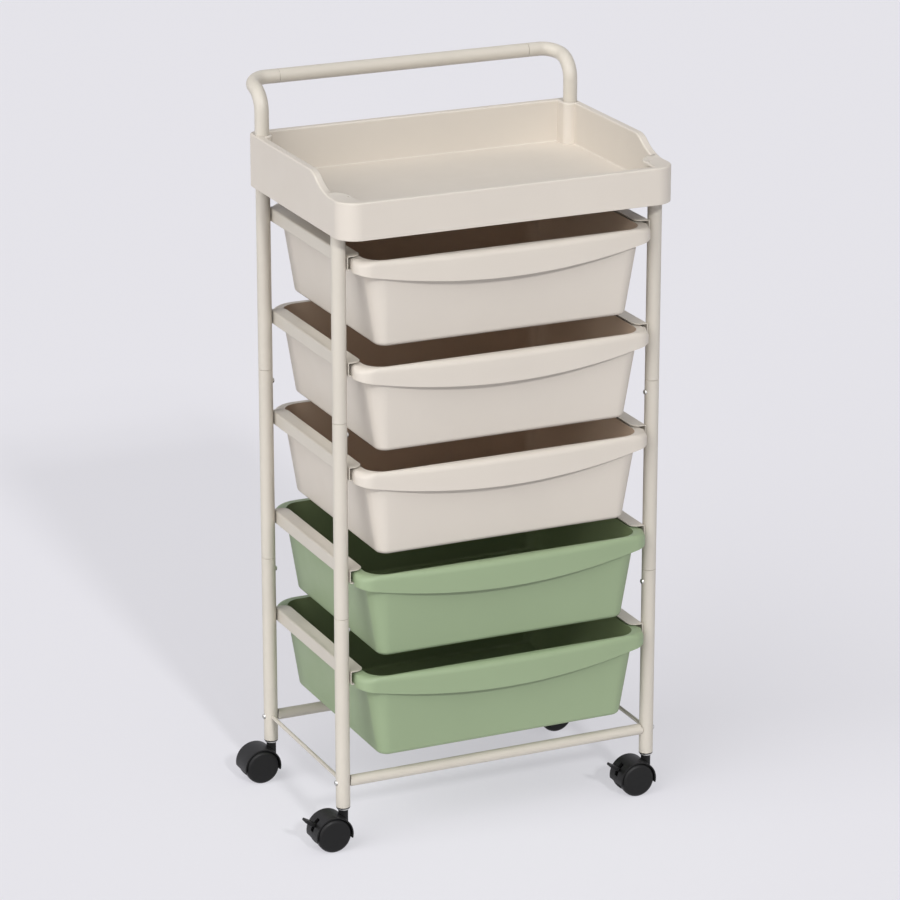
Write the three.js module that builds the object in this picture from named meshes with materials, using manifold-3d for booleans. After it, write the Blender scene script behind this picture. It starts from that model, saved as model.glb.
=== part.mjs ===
// Mobile drawer cart: five tub drawers on sheet runners in a round-tube frame,
// with a top tray, a push handle and four twin-wheel casters.
// Millimetres, +Z up, front towards -Y. The origin is the middle of the footprint, on the floor.

import * as THREE from 'three';
import { mergeVertices } from 'three/addons/utils/BufferGeometryUtils.js';
import Module from 'manifold-3d';

const wasm = await Module();
wasm.setup();

// Clearance between pieces that touch, and how far a cutter runs past what it cuts
const GAP = 0.3;
const PAST = 2;

// Frame: post axes, tube sizes and heights
const POST_X = 188;
const POST_Y = 106;
const TUBE_R = 8;
const TUBE_WALL = 1;
const TUBE_SIDES = 12;
const POST_FOOT_Z = 48;
const SEAM_LOW_Z = 271;
const SEAM_HIGH_Z = 495;
const SPIGOT_LENGTH = 22;
const SPIGOT_TAPER = 8;
const BASE_Z = 77;
const BASE_TUBE_R = 6.3;
const SIDE_ROD_R = 2.3;
const SIDE_ROD_SIDES = 8;

// Runners: folded sheet channels, measured from the runner's top face
const DRAWER_COUNT = 5;
const TOP_RUNNER_Z = 680;
const DRAWER_PITCH = 118;
const SHEET = 1.2;
const RUNNER_WEB_X = POST_X - TUBE_R - GAP;
const RUNNER_FLANGE_X = 163;
const RUNNER_SHELF_X = 170;
const RUNNER_HEIGHT = 15.6;
const RUNNER_HALF_Y = 111;
const RUNNER_CORNER_R = 10;

// Segments in half of a rounded corner of the runners and drawers
const CORNER_STEPS = 3;

// Drawer tub, measured from the runner's top face: outlines at the rim and at the foot
const BEIGE_DRAWERS = 3;
const TUB_RIM = { halfX: 165.5, front: -133.4, back: 131.5, cornerR: 24 };
const TUB_FOOT = { halfX: 149.5, front: -122, back: 121, cornerR: 13 };
const TUB_DEPTH = 102;
const TUB_FOOT_ROUND = 5;
const TUB_FOOT_STEPS = 3;
const MOULD_WALL = 2.4;

// Drawer rim: a flange that turns down at its edge and slides in the runners
const RIM_HALF_X = 175;
const RIM_FRONT_Y = -131;
const RIM_BACK_Y = 143;
const RIM_FRONT_R = 14;
const RIM_BACK_R = 33;
const RIM_TOP = -2.8;
const RIM_PLATE = 2.5;
const RIM_FOOT = -(RUNNER_HEIGHT - SHEET - GAP);

// Drawer lip: a bowed apron across the front, deepest in the middle, turned back at its ends
const LIP_HALF_X = 176.3;
const LIP_END_Y = -134;
const LIP_BACK_Y = -112;
const LIP_NOSE_R = 18;
const LIP_BOW = 8;
const LIP_WALL = 3;
const LIP_TOP = -2.5;
const LIP_PLATE = 3.5;
const LIP_END_DROP = 17;
const LIP_MID_DROP = 35;
const LIP_ROUNDNESS = 0.8;
const LIP_STEPS = 12;
const LIP_PLAN_STEPS = 6;

// Tray
const TRAY_HALF_X = 198;
const TRAY_FRONT_Y = -142;
const TRAY_BACK_Y = 126;
const TRAY_FOOT_Z = 704;
const TRAY_LOW_Z = 745.5;
const TRAY_TOP_Z = 764;
const TRAY_FLOOR_Z = 716;
const TRAY_FLOOR = 3;
const TRAY_WALL = 9;
const TRAY_SKIRT = 5;
const TRAY_FRONT_R = 24;
const TRAY_BACK_R = 12;
const STEP_LOW_Y = -110;
const STEP_HIGH_Y = -52;
const STEP_STEPS = 5;
const SOCKET_R = TUBE_R + 0.5;
const SOCKET_DEPTH = 25;
const BOSS_R = SOCKET_R + 2.2;
const CORNER_PLATE = 3;
const CORNER_PLATE_X = 168;
const CORNER_PLATE_Y = -90;
const CORNER_PLATE_R = 12;
const CORNER_BLOCK_R = 9;

// S-curve of the tray's step: places as shares of its run and its rise
const STEP_LEAVE = { run: 0.45, rise: 0 };
const STEP_STEEP = { run: 0.62, rise: 0.45 };
const STEP_SHOULDER = { run: 0.8, rise: 0.86 };
const STEP_CROWN = { run: 0.86, rise: 1 };

// Handle: legs over the rear posts, set back to the grip
const GRIP_Y = 146;
const GRIP_Z = 818;
const GRIP_HALF_X = 152;
const GRIP_SPIGOT = 12;
const LEG_BEND_Z = 808;
const LEG_BEND_CUT = 19;
const GRIP_BEND_CUT = 21;
const HANDLE_STEPS = 16;

// Casters, measured from the post axis on the floor; the wheels trail towards -X
const WHEEL_R = 20;
const WHEEL_SIDES = 18;
const WHEEL_INNER_Y = 6;
const WHEEL_OUTER_Y = 16;
const WHEEL_ROUND = 3.2;
const WHEEL_CHAMFER = 2;
const TRAIL = 16;
const HUB_BORE_R = 2.75;
const HUB_BORE_END_Y = 14.2;
const AXLE_R = 2.4;
const AXLE_HALF = 14;
const PIN_SIDES = 10;
const HOOD_R = 22.2;
const HOOD_WALL = 1.5;
const HOOD_HALF_Y = 15;
const HOOD_WEB_HALF = 5.4;
const HOOD_START_DEG = -14;
const HOOD_END_DEG = 190;
const HOOD_STEPS = 9;
const HOOD_BOSS_R = 7;
const NECK_R = 5.5;
const NECK_TOP_Z = 44.9;
const NECK_FOOT_Z = 26;
const NECK_BORE_R = 4.3;
const NECK_BORE_FOOT_Z = 36;
const PIN_R = 3.8;
const COLLAR_R = 6;
const COLLAR_Z = NECK_TOP_Z + GAP;
const FLANGE_Z = 46.2;
const FLANGE_R = 7.8;
const PLUG_TOP_Z = 72;

// Brake lever, in polar places about the wheel axle
const LEVER_DEG = 148;
const LEVER_PIVOT_R = 14;
const LEVER_HUB_R = 3.4;
const LEVER_TRUNNION_R = 1.8;
const LEVER_TRUNNION_HALF = 5;
const LEVER_ARM_HALF_Y = 3;
const LEVER_ARM_THICK = 3.6;
const LEVER_TAB_R = 24;
const LEVER_TAB_HALF_Y = 6;
const LEVER_TAB_THICK = 2.6;
const LEVER_TIP_R = 35.5;
const LEVER_OVERLAP = 1;
const LEVER_SLOT_HALF_DEG = 14;
const LEVER_SLOT_STEPS = 3;

// Finishes
function finish(color, roughness, metalness) {
  return new THREE.MeshStandardMaterial({ color, roughness, metalness });
}

const beigeCoat = finish(0xd8cfc5, 0.45, 0.1);
const beigePlastic = finish(0xd9d0c7, 0.5, 0);
const sagePlastic = finish(0x9fc196, 0.5, 0);
const blackPlastic = finish(0x1d1d1f, 0.4, 0);
const zincSteel = finish(0xb9b9b6, 0.35, 0.9);

// Turns a closed geometry into a solid with its faces pointing out
function solid(geometry) {
  const bare = geometry.clone();
  bare.deleteAttribute('normal');
  bare.deleteAttribute('uv');
  const welded = mergeVertices(bare, 1e-4);
  const points = welded.attributes.position;
  const corners = [new THREE.Vector3(), new THREE.Vector3(), new THREE.Vector3()];
  const triangles = [];
  let volume = 0;
  for (let i = 0; i < welded.index.count; i += 3) {
    const ids = [0, 1, 2].map((k) => welded.index.getX(i + k));
    if (new Set(ids).size < 3) continue;
    ids.forEach((id, k) => corners[k].fromBufferAttribute(points, id));
    volume += corners[0].dot(corners[1].clone().cross(corners[2]));
    triangles.push(ids);
  }
  const turned = volume < 0 ? triangles.map(([a, b, c]) => [a, c, b]) : triangles;
  return new wasm.Manifold(new wasm.Mesh({
    numProp: 3,
    vertProperties: new Float32Array(points.array),
    triVerts: new Uint32Array(turned.flat()),
  }));
}

// Turns a solid back into a geometry
function geometryOf(shape) {
  const mesh = shape.getMesh();
  const geometry = new THREE.BufferGeometry();
  geometry.setAttribute('position', new THREE.BufferAttribute(mesh.vertProperties, 3));
  geometry.setIndex(new THREE.BufferAttribute(mesh.triVerts, 1));
  geometry.computeVertexNormals();
  return geometry;
}

const radians = THREE.MathUtils.degToRad;
const mix = THREE.MathUtils.lerp;
const sides = [['left', -1], ['right', 1]];

// Straight prisms from an outline drawn in one of the three planes
function prismZ(shape, low, high, segments = 4) {
  const geometry = new THREE.ExtrudeGeometry(shape, {
    depth: high - low, bevelEnabled: false, curveSegments: segments,
  });
  return geometry.translate(0, 0, low);
}

function prismY(shape, low, high, segments = 4) {
  return prismZ(shape, -high, -low, segments).rotateX(Math.PI / 2);
}

function prismX(shape, low, high, segments = 4) {
  const turn = new THREE.Matrix4().makeBasis(
    new THREE.Vector3(0, 1, 0), new THREE.Vector3(0, 0, 1), new THREE.Vector3(1, 0, 0),
  );
  return prismZ(shape, low, high, segments).applyMatrix4(turn);
}

// Round pieces: a profile of [radius, height] pairs turned about Z or about Y
function turnedY(profile, segments) {
  return new THREE.LatheGeometry(profile.map(([r, y]) => new THREE.Vector2(r, y)), segments);
}

function turnedZ(profile, segments) {
  return turnedY(profile, segments).rotateX(Math.PI / 2);
}

function rod(radius, low, high, segments) {
  return turnedZ([[0, low], [radius, low], [radius, high], [0, high]], segments);
}

function pipeProfile(outer, inner, low, high) {
  return [[inner, low], [outer, low], [outer, high], [inner, high], [inner, low]];
}

// Rounded rectangle with one radius at the front corners and one at the back corners
function roundedPlan(halfX, front, back, frontR, backR) {
  const shape = new THREE.Shape();
  shape.moveTo(-halfX + frontR, front);
  shape.lineTo(halfX - frontR, front);
  shape.absarc(halfX - frontR, front + frontR, frontR, -Math.PI / 2, 0);
  shape.lineTo(halfX, back - backR);
  shape.absarc(halfX - backR, back - backR, backR, 0, Math.PI / 2);
  shape.lineTo(-halfX + backR, back);
  shape.absarc(-halfX + backR, back - backR, backR, Math.PI / 2, Math.PI);
  shape.lineTo(-halfX, front + frontR);
  shape.absarc(-halfX + frontR, front + frontR, frontR, Math.PI, 1.5 * Math.PI);
  return shape;
}

function polygon(points) {
  return new THREE.Shape(points.map(([x, y]) => new THREE.Vector2(x, y)));
}

const cart = new THREE.Group();

function add(name, shape, material, x = 0, y = 0, z = 0) {
  const mesh = new THREE.Mesh(geometryOf(shape), material);
  mesh.name = name;
  mesh.position.set(x, y, z);
  cart.add(mesh);
}

// Corner posts: three tube sections each, plugged together by swaged spigots
function postSection(low, high, spigot) {
  const inner = TUBE_R - TUBE_WALL;
  if (!spigot) return solid(turnedZ(pipeProfile(TUBE_R, inner, low, high), TUBE_SIDES));
  const neck = inner - GAP;
  const bore = neck - TUBE_WALL;
  const profile = [
    [inner, low], [TUBE_R, low], [TUBE_R, high], [neck, high], [neck, high + SPIGOT_LENGTH],
    [bore, high + SPIGOT_LENGTH], [bore, high], [inner, high - SPIGOT_TAPER], [inner, low],
  ];
  return solid(turnedZ(profile, TUBE_SIDES));
}

const postTop = TRAY_FOOT_Z + SOCKET_DEPTH - GAP;
const lowerPost = postSection(POST_FOOT_Z, SEAM_LOW_Z - GAP, true);
const middlePost = postSection(SEAM_LOW_Z, SEAM_HIGH_Z - GAP, true);
const upperPost = postSection(SEAM_HIGH_Z, postTop, false);
const corners = [];
for (const [depth, alongY] of [['front', -1], ['back', 1]]) {
  for (const [side, alongX] of sides) {
    corners.push({ name: `${depth}_${side}`, x: alongX * POST_X, y: alongY * POST_Y, atFront: alongY < 0 });
  }
}
for (const { name, x, y } of corners) {
  add(`post_${name}_lower`, lowerPost, beigeCoat, x, y);
  add(`post_${name}_middle`, middlePost, beigeCoat, x, y);
  add(`post_${name}_upper`, upperPost, beigeCoat, x, y);
}

// Base tubes across the front and the back, and thin rods along the sides
const baseHalf = POST_X - TUBE_R - GAP;
const basePipe = pipeProfile(BASE_TUBE_R, BASE_TUBE_R - TUBE_WALL, -baseHalf, baseHalf);
const baseTube = solid(turnedY(basePipe, TUBE_SIDES).rotateZ(Math.PI / 2));
add('base_tube_front', baseTube, beigeCoat, 0, -POST_Y, BASE_Z);
add('base_tube_rear', baseTube, beigeCoat, 0, POST_Y, BASE_Z);
const rodHalf = POST_Y - TUBE_R - GAP;
const sideRod = solid(rod(SIDE_ROD_R, -rodHalf, rodHalf, SIDE_ROD_SIDES).rotateX(Math.PI / 2));
for (const [side, alongX] of sides) add(`side_rod_${side}`, sideRod, beigeCoat, alongX * POST_X, 0, BASE_Z);

// Runners: a web on the posts, a wide top flange and a narrow shelf under the drawer's rim
function runner(alongX) {
  const shelf = -RUNNER_HEIGHT + SHEET;
  const web = RUNNER_WEB_X - SHEET;
  const section = polygon([
    [RUNNER_WEB_X, 0], [RUNNER_FLANGE_X, 0], [RUNNER_FLANGE_X, -SHEET], [web, -SHEET], [web, shelf],
    [RUNNER_SHELF_X, shelf], [RUNNER_SHELF_X, -RUNNER_HEIGHT], [RUNNER_WEB_X, -RUNNER_HEIGHT],
  ].map(([x, z]) => [alongX * x, z]));
  const channel = solid(prismY(section, -RUNNER_HALF_Y, RUNNER_HALF_Y));
  const plan = roundedPlan(RUNNER_WEB_X - RUNNER_FLANGE_X, -RUNNER_HALF_Y, RUNNER_HALF_Y,
    RUNNER_CORNER_R, RUNNER_CORNER_R);
  const rounded = prismZ(plan, -RUNNER_HEIGHT - PAST, PAST, CORNER_STEPS);
  return channel.intersect(solid(rounded.translate(alongX * RUNNER_WEB_X, 0, 0)));
}

const runnerSolids = { left: runner(-1), right: runner(1) };

// Drawer tub: a rounded outline drawn in towards a foot with tighter corners
function tub(inset, topZ) {
  const footZ = inset - TUB_DEPTH;
  const rows = [];
  for (let i = 0; i <= TUB_FOOT_STEPS; i += 1) {
    const angle = (i / TUB_FOOT_STEPS) * (Math.PI / 2);
    const rise = TUB_FOOT_ROUND * (1 - Math.cos(angle));
    rows.push({ z: footZ + rise, inset: inset + TUB_FOOT_ROUND * (1 - Math.sin(angle)) });
  }
  rows.push({ z: topZ, inset });
  const halfY = (TUB_RIM.back - TUB_RIM.front) / 2;
  const plan = roundedPlan(TUB_RIM.halfX, -halfY, halfY, TUB_RIM.cornerR, TUB_RIM.cornerR);
  const steps = rows.length - 1;
  const geometry = new THREE.ExtrudeGeometry(plan, {
    depth: 1, steps, bevelEnabled: false, curveSegments: CORNER_STEPS,
  });
  const points = geometry.attributes.position;
  const tighten = (place, half, k) => Math.sign(place) * (half - k * (half - Math.abs(place)));
  for (let i = 0; i < points.count; i += 1) {
    const row = rows[Math.round(points.getZ(i) * steps)];
    const t = (row.z + TUB_DEPTH) / (TUB_DEPTH + RIM_TOP);
    const k = mix(TUB_FOOT.cornerR / TUB_RIM.cornerR, 1, t);
    const halfX = mix(TUB_FOOT.halfX, TUB_RIM.halfX, t) - row.inset;
    const front = mix(TUB_FOOT.front, TUB_RIM.front, t) + row.inset;
    const back = mix(TUB_FOOT.back, TUB_RIM.back, t) - row.inset;
    const x = (tighten(points.getX(i), TUB_RIM.halfX, k) / TUB_RIM.halfX) * halfX;
    const along = tighten(points.getY(i), halfY, k) / halfY;
    points.setXYZ(i, x, (front + back) / 2 + along * ((back - front) / 2), row.z);
  }
  return solid(geometry);
}

function rimBlock(inset, low, high) {
  const plan = roundedPlan(RIM_HALF_X - inset, RIM_FRONT_Y + inset, RIM_BACK_Y - inset,
    RIM_FRONT_R - inset, RIM_BACK_R - inset);
  return solid(prismZ(plan, low, high, CORNER_STEPS));
}

// Drawer lip seen from above: a bowed front between two round noses
function lipPlan(inset, back) {
  const halfX = LIP_HALF_X - inset;
  const front = LIP_END_Y + inset;
  const noseR = LIP_NOSE_R - inset;
  const shape = new THREE.Shape();
  shape.moveTo(-halfX, back);
  shape.lineTo(-halfX, front + noseR);
  shape.quadraticCurveTo(-halfX, front, noseR - halfX, front);
  shape.quadraticCurveTo(0, front - 2 * LIP_BOW, halfX - noseR, front);
  shape.quadraticCurveTo(halfX, front, halfX, front + noseR);
  shape.lineTo(halfX, back);
  return shape;
}

// Drawer lip: a plate and the band that hangs from it, cut to a smile along the lower edge
function lip() {
  const low = -LIP_MID_DROP - PAST;
  const block = solid(prismZ(lipPlan(0, LIP_BACK_Y), low, LIP_TOP, LIP_PLAN_STEPS));
  const under = prismZ(lipPlan(LIP_WALL, LIP_BACK_Y + PAST), low - PAST, LIP_TOP - LIP_PLATE, LIP_PLAN_STEPS);
  const smile = [];
  for (let i = 0; i <= LIP_STEPS; i += 1) {
    const u = Math.sin((i / LIP_STEPS - 0.5) * Math.PI);
    smile.push([u * LIP_HALF_X, mix(-LIP_END_DROP, -LIP_MID_DROP, (1 - u * u) ** LIP_ROUNDNESS)]);
  }
  const outline = polygon([...smile, [LIP_HALF_X, 0], [-LIP_HALF_X, 0]]);
  const keep = solid(prismY(outline, LIP_END_Y - LIP_BOW - PAST, LIP_BACK_Y + PAST));
  return block.subtract(solid(under)).intersect(keep);
}

function drawer() {
  const skirt = rimBlock(0, RIM_FOOT, RIM_TOP);
  const under = rimBlock(MOULD_WALL, RIM_FOOT - PAST, RIM_TOP - RIM_PLATE);
  const body = skirt.subtract(under).add(tub(0, RIM_TOP)).add(lip());
  return body.subtract(tub(MOULD_WALL, PAST));
}

const drawerSolid = drawer();
for (let i = 0; i < DRAWER_COUNT; i += 1) {
  const z = TOP_RUNNER_Z - i * DRAWER_PITCH;
  for (const [side] of sides) add(`runner_${i + 1}_${side}`, runnerSolids[side], beigeCoat, 0, 0, z);
  add(`drawer_${i + 1}`, drawerSolid, i < BEIGE_DRAWERS ? beigePlastic : sagePlastic, 0, 0, z);
}

// Tray: a shallow box on a raised floor, lower at the front, with corner sockets
function trayBlock(inset, low, high) {
  const plan = roundedPlan(TRAY_HALF_X - inset, TRAY_FRONT_Y + inset, TRAY_BACK_Y - inset,
    TRAY_FRONT_R - inset, TRAY_BACK_R - inset);
  return solid(prismZ(plan, low, high));
}

function trayFrontCut() {
  const along = ({ run }) => mix(STEP_LOW_Y, STEP_HIGH_Y, run);
  const up = ({ rise }) => mix(TRAY_LOW_Z, TRAY_TOP_Z, rise);
  const shape = new THREE.Shape();
  shape.moveTo(TRAY_FRONT_Y - PAST, TRAY_LOW_Z);
  shape.lineTo(STEP_LOW_Y, TRAY_LOW_Z);
  shape.bezierCurveTo(
    along(STEP_LEAVE), up(STEP_LEAVE), along(STEP_STEEP), up(STEP_STEEP),
    along(STEP_SHOULDER), up(STEP_SHOULDER),
  );
  shape.quadraticCurveTo(along(STEP_CROWN), up(STEP_CROWN), STEP_HIGH_Y, TRAY_TOP_Z);
  shape.lineTo(STEP_HIGH_Y, TRAY_TOP_Z + PAST);
  shape.lineTo(TRAY_FRONT_Y - PAST, TRAY_TOP_Z + PAST);
  return solid(prismX(shape, -TRAY_HALF_X - PAST, TRAY_HALF_X + PAST, STEP_STEPS));
}

// Fill of a tray corner, as far in as a given X and between two places along Y
function cornerFill(alongX, innerX, front, back, round, low, high) {
  const plan = roundedPlan(TRAY_HALF_X - innerX, front, back, round, round);
  return solid(prismZ(plan, low, high).translate(alongX * TRAY_HALF_X, 0, 0));
}

// Front corner: a boss round the post's socket, closed by a plate that follows the wall's top
function frontCorner(alongX) {
  const boss = rod(BOSS_R, TRAY_FOOT_Z, TRAY_LOW_Z, TUBE_SIDES).translate(alongX * POST_X, -POST_Y, 0);
  const plate = cornerFill(alongX, CORNER_PLATE_X, TRAY_FRONT_Y, CORNER_PLATE_Y, CORNER_PLATE_R,
    TRAY_LOW_Z - CORNER_PLATE, TRAY_TOP_Z);
  return plate.add(solid(boss));
}

// Rear corner: a block round the post's socket and the handle's socket
function rearCorner(alongX) {
  return cornerFill(alongX, POST_X - BOSS_R, POST_Y - BOSS_R, TRAY_BACK_Y, CORNER_BLOCK_R,
    TRAY_FOOT_Z, TRAY_TOP_Z);
}

function tray() {
  const outer = trayBlock(0, TRAY_FOOT_Z, TRAY_TOP_Z);
  const well = trayBlock(TRAY_WALL, TRAY_FLOOR_Z, TRAY_TOP_Z + PAST);
  const under = trayBlock(TRAY_SKIRT, TRAY_FOOT_Z - PAST, TRAY_FLOOR_Z - TRAY_FLOOR);
  let body = outer.subtract(well).subtract(under);
  for (const [, alongX] of sides) {
    const fills = frontCorner(alongX).add(rearCorner(alongX));
    body = body.add(fills.intersect(outer));
  }
  body = body.subtract(trayFrontCut());
  for (const { x, y, atFront } of corners) {
    const foot = rod(SOCKET_R, TRAY_FOOT_Z - PAST, TRAY_FOOT_Z + SOCKET_DEPTH, TUBE_SIDES);
    body = body.subtract(solid(foot.translate(x, y, 0)));
    if (atFront) continue;
    const head = rod(SOCKET_R, TRAY_TOP_Z - SOCKET_DEPTH, TRAY_TOP_Z + PAST, TUBE_SIDES);
    body = body.subtract(solid(head.translate(x, y, 0)));
  }
  return body;
}

add('top_tray', tray(), beigePlastic);

// Handle: an elbow from each rear socket, and the grip plugged between them
function handleElbow(alongX) {
  const start = new THREE.Vector3(alongX * POST_X, POST_Y, TRAY_TOP_Z - SOCKET_DEPTH + GAP);
  const bend = new THREE.Vector3(alongX * POST_X, POST_Y, LEG_BEND_Z);
  const corner = new THREE.Vector3(alongX * POST_X, GRIP_Y, GRIP_Z);
  const end = new THREE.Vector3(alongX * (GRIP_HALF_X + GAP), GRIP_Y, GRIP_Z);
  const towards = (from, to, length) => from.clone().add(to.clone().sub(from).setLength(length));
  const stops = [
    towards(bend, start, LEG_BEND_CUT), towards(bend, corner, LEG_BEND_CUT),
    towards(corner, bend, GRIP_BEND_CUT), towards(corner, end, GRIP_BEND_CUT),
  ];
  const path = new THREE.CurvePath();
  path.add(new THREE.LineCurve3(start, stops[0]));
  path.add(new THREE.QuadraticBezierCurve3(stops[0], bend, stops[1]));
  path.add(new THREE.LineCurve3(stops[1], stops[2]));
  path.add(new THREE.QuadraticBezierCurve3(stops[2], corner, stops[3]));
  path.add(new THREE.LineCurve3(stops[3], end));
  const ring = new THREE.Shape().absarc(0, 0, TUBE_R, 0, 2 * Math.PI);
  ring.holes.push(new THREE.Path().absarc(0, 0, TUBE_R - TUBE_WALL, 0, 2 * Math.PI));
  return solid(new THREE.ExtrudeGeometry(ring, {
    extrudePath: path, steps: HANDLE_STEPS, curveSegments: TUBE_SIDES / 2,
  }));
}

function handleGrip() {
  const neck = TUBE_R - TUBE_WALL - 2 * GAP;
  const bore = neck - TUBE_WALL;
  const far = GRIP_HALF_X + GRIP_SPIGOT;
  const profile = [
    [bore, -far], [neck, -far], [neck, -GRIP_HALF_X], [TUBE_R, -GRIP_HALF_X],
    [TUBE_R, GRIP_HALF_X], [neck, GRIP_HALF_X], [neck, far], [bore, far], [bore, -far],
  ];
  return solid(turnedY(profile, TUBE_SIDES).rotateZ(Math.PI / 2));
}

for (const [side, alongX] of sides) add(`handle_elbow_${side}`, handleElbow(alongX), beigeCoat);
add('handle_grip', handleGrip(), beigeCoat, 0, GRIP_Y, GRIP_Z);

// Casters: places about the wheel axle, as an angle in degrees and a radius
function aboutAxle(degrees, radius) {
  return [-TRAIL + radius * Math.cos(radians(degrees)), WHEEL_R + radius * Math.sin(radians(degrees))];
}

function hoodSector(startDeg, endDeg, inner, outer) {
  const shape = new THREE.Shape();
  shape.absarc(-TRAIL, WHEEL_R, outer, radians(startDeg), radians(endDeg), false);
  if (inner > 0) shape.absarc(-TRAIL, WHEEL_R, inner, radians(endDeg), radians(startDeg), true);
  return shape;
}

function acrossAxle(x, z, radius, halfY) {
  const ends = [[0, -halfY], [radius, -halfY], [radius, halfY], [0, halfY]];
  return solid(turnedY(ends, PIN_SIDES).translate(x, 0, z));
}

function hood(hasBrake) {
  const canopy = hoodSector(HOOD_START_DEG, HOOD_END_DEG, HOOD_R - HOOD_WALL, HOOD_R);
  const web = hoodSector(HOOD_START_DEG, HOOD_END_DEG, 0, HOOD_R);
  let body = solid(prismY(canopy, -HOOD_HALF_Y, HOOD_HALF_Y, HOOD_STEPS));
  body = body.add(solid(prismY(web, -HOOD_WEB_HALF, HOOD_WEB_HALF, HOOD_STEPS)));
  body = body.add(acrossAxle(-TRAIL, WHEEL_R, HOOD_BOSS_R, HOOD_WEB_HALF));
  body = body.add(solid(rod(NECK_R, NECK_FOOT_Z, NECK_TOP_Z, TUBE_SIDES)));
  body = body.subtract(solid(rod(NECK_BORE_R, NECK_BORE_FOOT_Z, NECK_TOP_Z + PAST, TUBE_SIDES)));
  body = body.subtract(acrossAxle(-TRAIL, WHEEL_R, HUB_BORE_R, HOOD_WEB_HALF + PAST));
  if (!hasBrake) return body;
  const slot = hoodSector(LEVER_DEG - LEVER_SLOT_HALF_DEG, LEVER_DEG + LEVER_SLOT_HALF_DEG,
    LEVER_PIVOT_R - LEVER_HUB_R - GAP, HOOD_R + PAST);
  const slotHalf = LEVER_ARM_HALF_Y + GAP;
  body = body.subtract(solid(prismY(slot, -slotHalf, slotHalf, LEVER_SLOT_STEPS)));
  const [x, z] = aboutAxle(LEVER_DEG, LEVER_PIVOT_R);
  body = body.subtract(acrossAxle(x, z, LEVER_HUB_R + GAP, slotHalf));
  return body.subtract(acrossAxle(x, z, LEVER_TRUNNION_R + GAP, LEVER_TRUNNION_HALF + GAP));
}

function wheel(alongY) {
  const shoulder = WHEEL_ROUND * (1 - Math.SQRT1_2);
  const profile = [
    [0, WHEEL_OUTER_Y], [WHEEL_R - WHEEL_ROUND, WHEEL_OUTER_Y],
    [WHEEL_R - shoulder, WHEEL_OUTER_Y - shoulder],
    [WHEEL_R, WHEEL_OUTER_Y - WHEEL_ROUND], [WHEEL_R, WHEEL_INNER_Y + WHEEL_CHAMFER],
    [WHEEL_R - WHEEL_CHAMFER, WHEEL_INNER_Y], [HUB_BORE_R, WHEEL_INNER_Y], [HUB_BORE_R, HUB_BORE_END_Y],
    [0, HUB_BORE_END_Y],
  ].map(([r, y]) => [r, alongY * y]);
  return solid(turnedY(profile, WHEEL_SIDES).translate(-TRAIL, 0, WHEEL_R));
}

function stem() {
  const profile = [
    [0, NECK_BORE_FOOT_Z + GAP], [PIN_R, NECK_BORE_FOOT_Z + GAP], [PIN_R, COLLAR_Z], [COLLAR_R, COLLAR_Z],
    [COLLAR_R, FLANGE_Z], [FLANGE_R, FLANGE_Z], [FLANGE_R, POST_FOOT_Z - GAP],
    [TUBE_R - TUBE_WALL - GAP, POST_FOOT_Z - GAP], [TUBE_R - TUBE_WALL - GAP, PLUG_TOP_Z], [0, PLUG_TOP_Z],
  ];
  return solid(turnedZ(profile, TUBE_SIDES));
}

// Brake lever: a hub on trunnions in the hood's web, an arm through the slot and a wider tab to press
function lever() {
  const blade = (fromR, toR, thick, halfY) => {
    const half = thick / 2;
    const outline = polygon([[fromR, -half], [toR, -half], [toR, half], [fromR, half]]);
    const turn = new THREE.Matrix4().makeRotationY(-radians(LEVER_DEG));
    return solid(prismY(outline, -halfY, halfY).applyMatrix4(turn).translate(-TRAIL, 0, WHEEL_R));
  };
  const [x, z] = aboutAxle(LEVER_DEG, LEVER_PIVOT_R);
  const hub = acrossAxle(x, z, LEVER_HUB_R, LEVER_ARM_HALF_Y);
  const trunnion = acrossAxle(x, z, LEVER_TRUNNION_R, LEVER_TRUNNION_HALF);
  const arm = blade(LEVER_PIVOT_R, LEVER_TAB_R + LEVER_OVERLAP, LEVER_ARM_THICK, LEVER_ARM_HALF_Y);
  const tab = blade(LEVER_TAB_R, LEVER_TIP_R, LEVER_TAB_THICK, LEVER_TAB_HALF_Y);
  return hub.add(trunnion).add(arm).add(tab);
}

const axle = acrossAxle(-TRAIL, WHEEL_R, AXLE_R, AXLE_HALF);
for (const { name, x, y, atFront } of corners) {
  add(`caster_${name}_stem`, stem(), zincSteel, x, y);
  add(`caster_${name}_hood`, hood(atFront), blackPlastic, x, y);
  add(`caster_${name}_axle`, axle, zincSteel, x, y);
  add(`caster_${name}_wheel_front`, wheel(-1), blackPlastic, x, y);
  add(`caster_${name}_wheel_rear`, wheel(1), blackPlastic, x, y);
  if (atFront) add(`caster_${name}_brake_lever`, lever(), blackPlastic, x, y);
}

// The footprint's middle becomes the origin
const middle = new THREE.Box3().setFromObject(cart, true).getCenter(new THREE.Vector3());
cart.position.set(-middle.x, -middle.y, 0);
cart.updateMatrixWorld(true);

export default cart;
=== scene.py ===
"""Looks of the mobile drawer cart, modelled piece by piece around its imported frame.

Metres, +Z up, front towards -Y.
"""
import math

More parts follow.
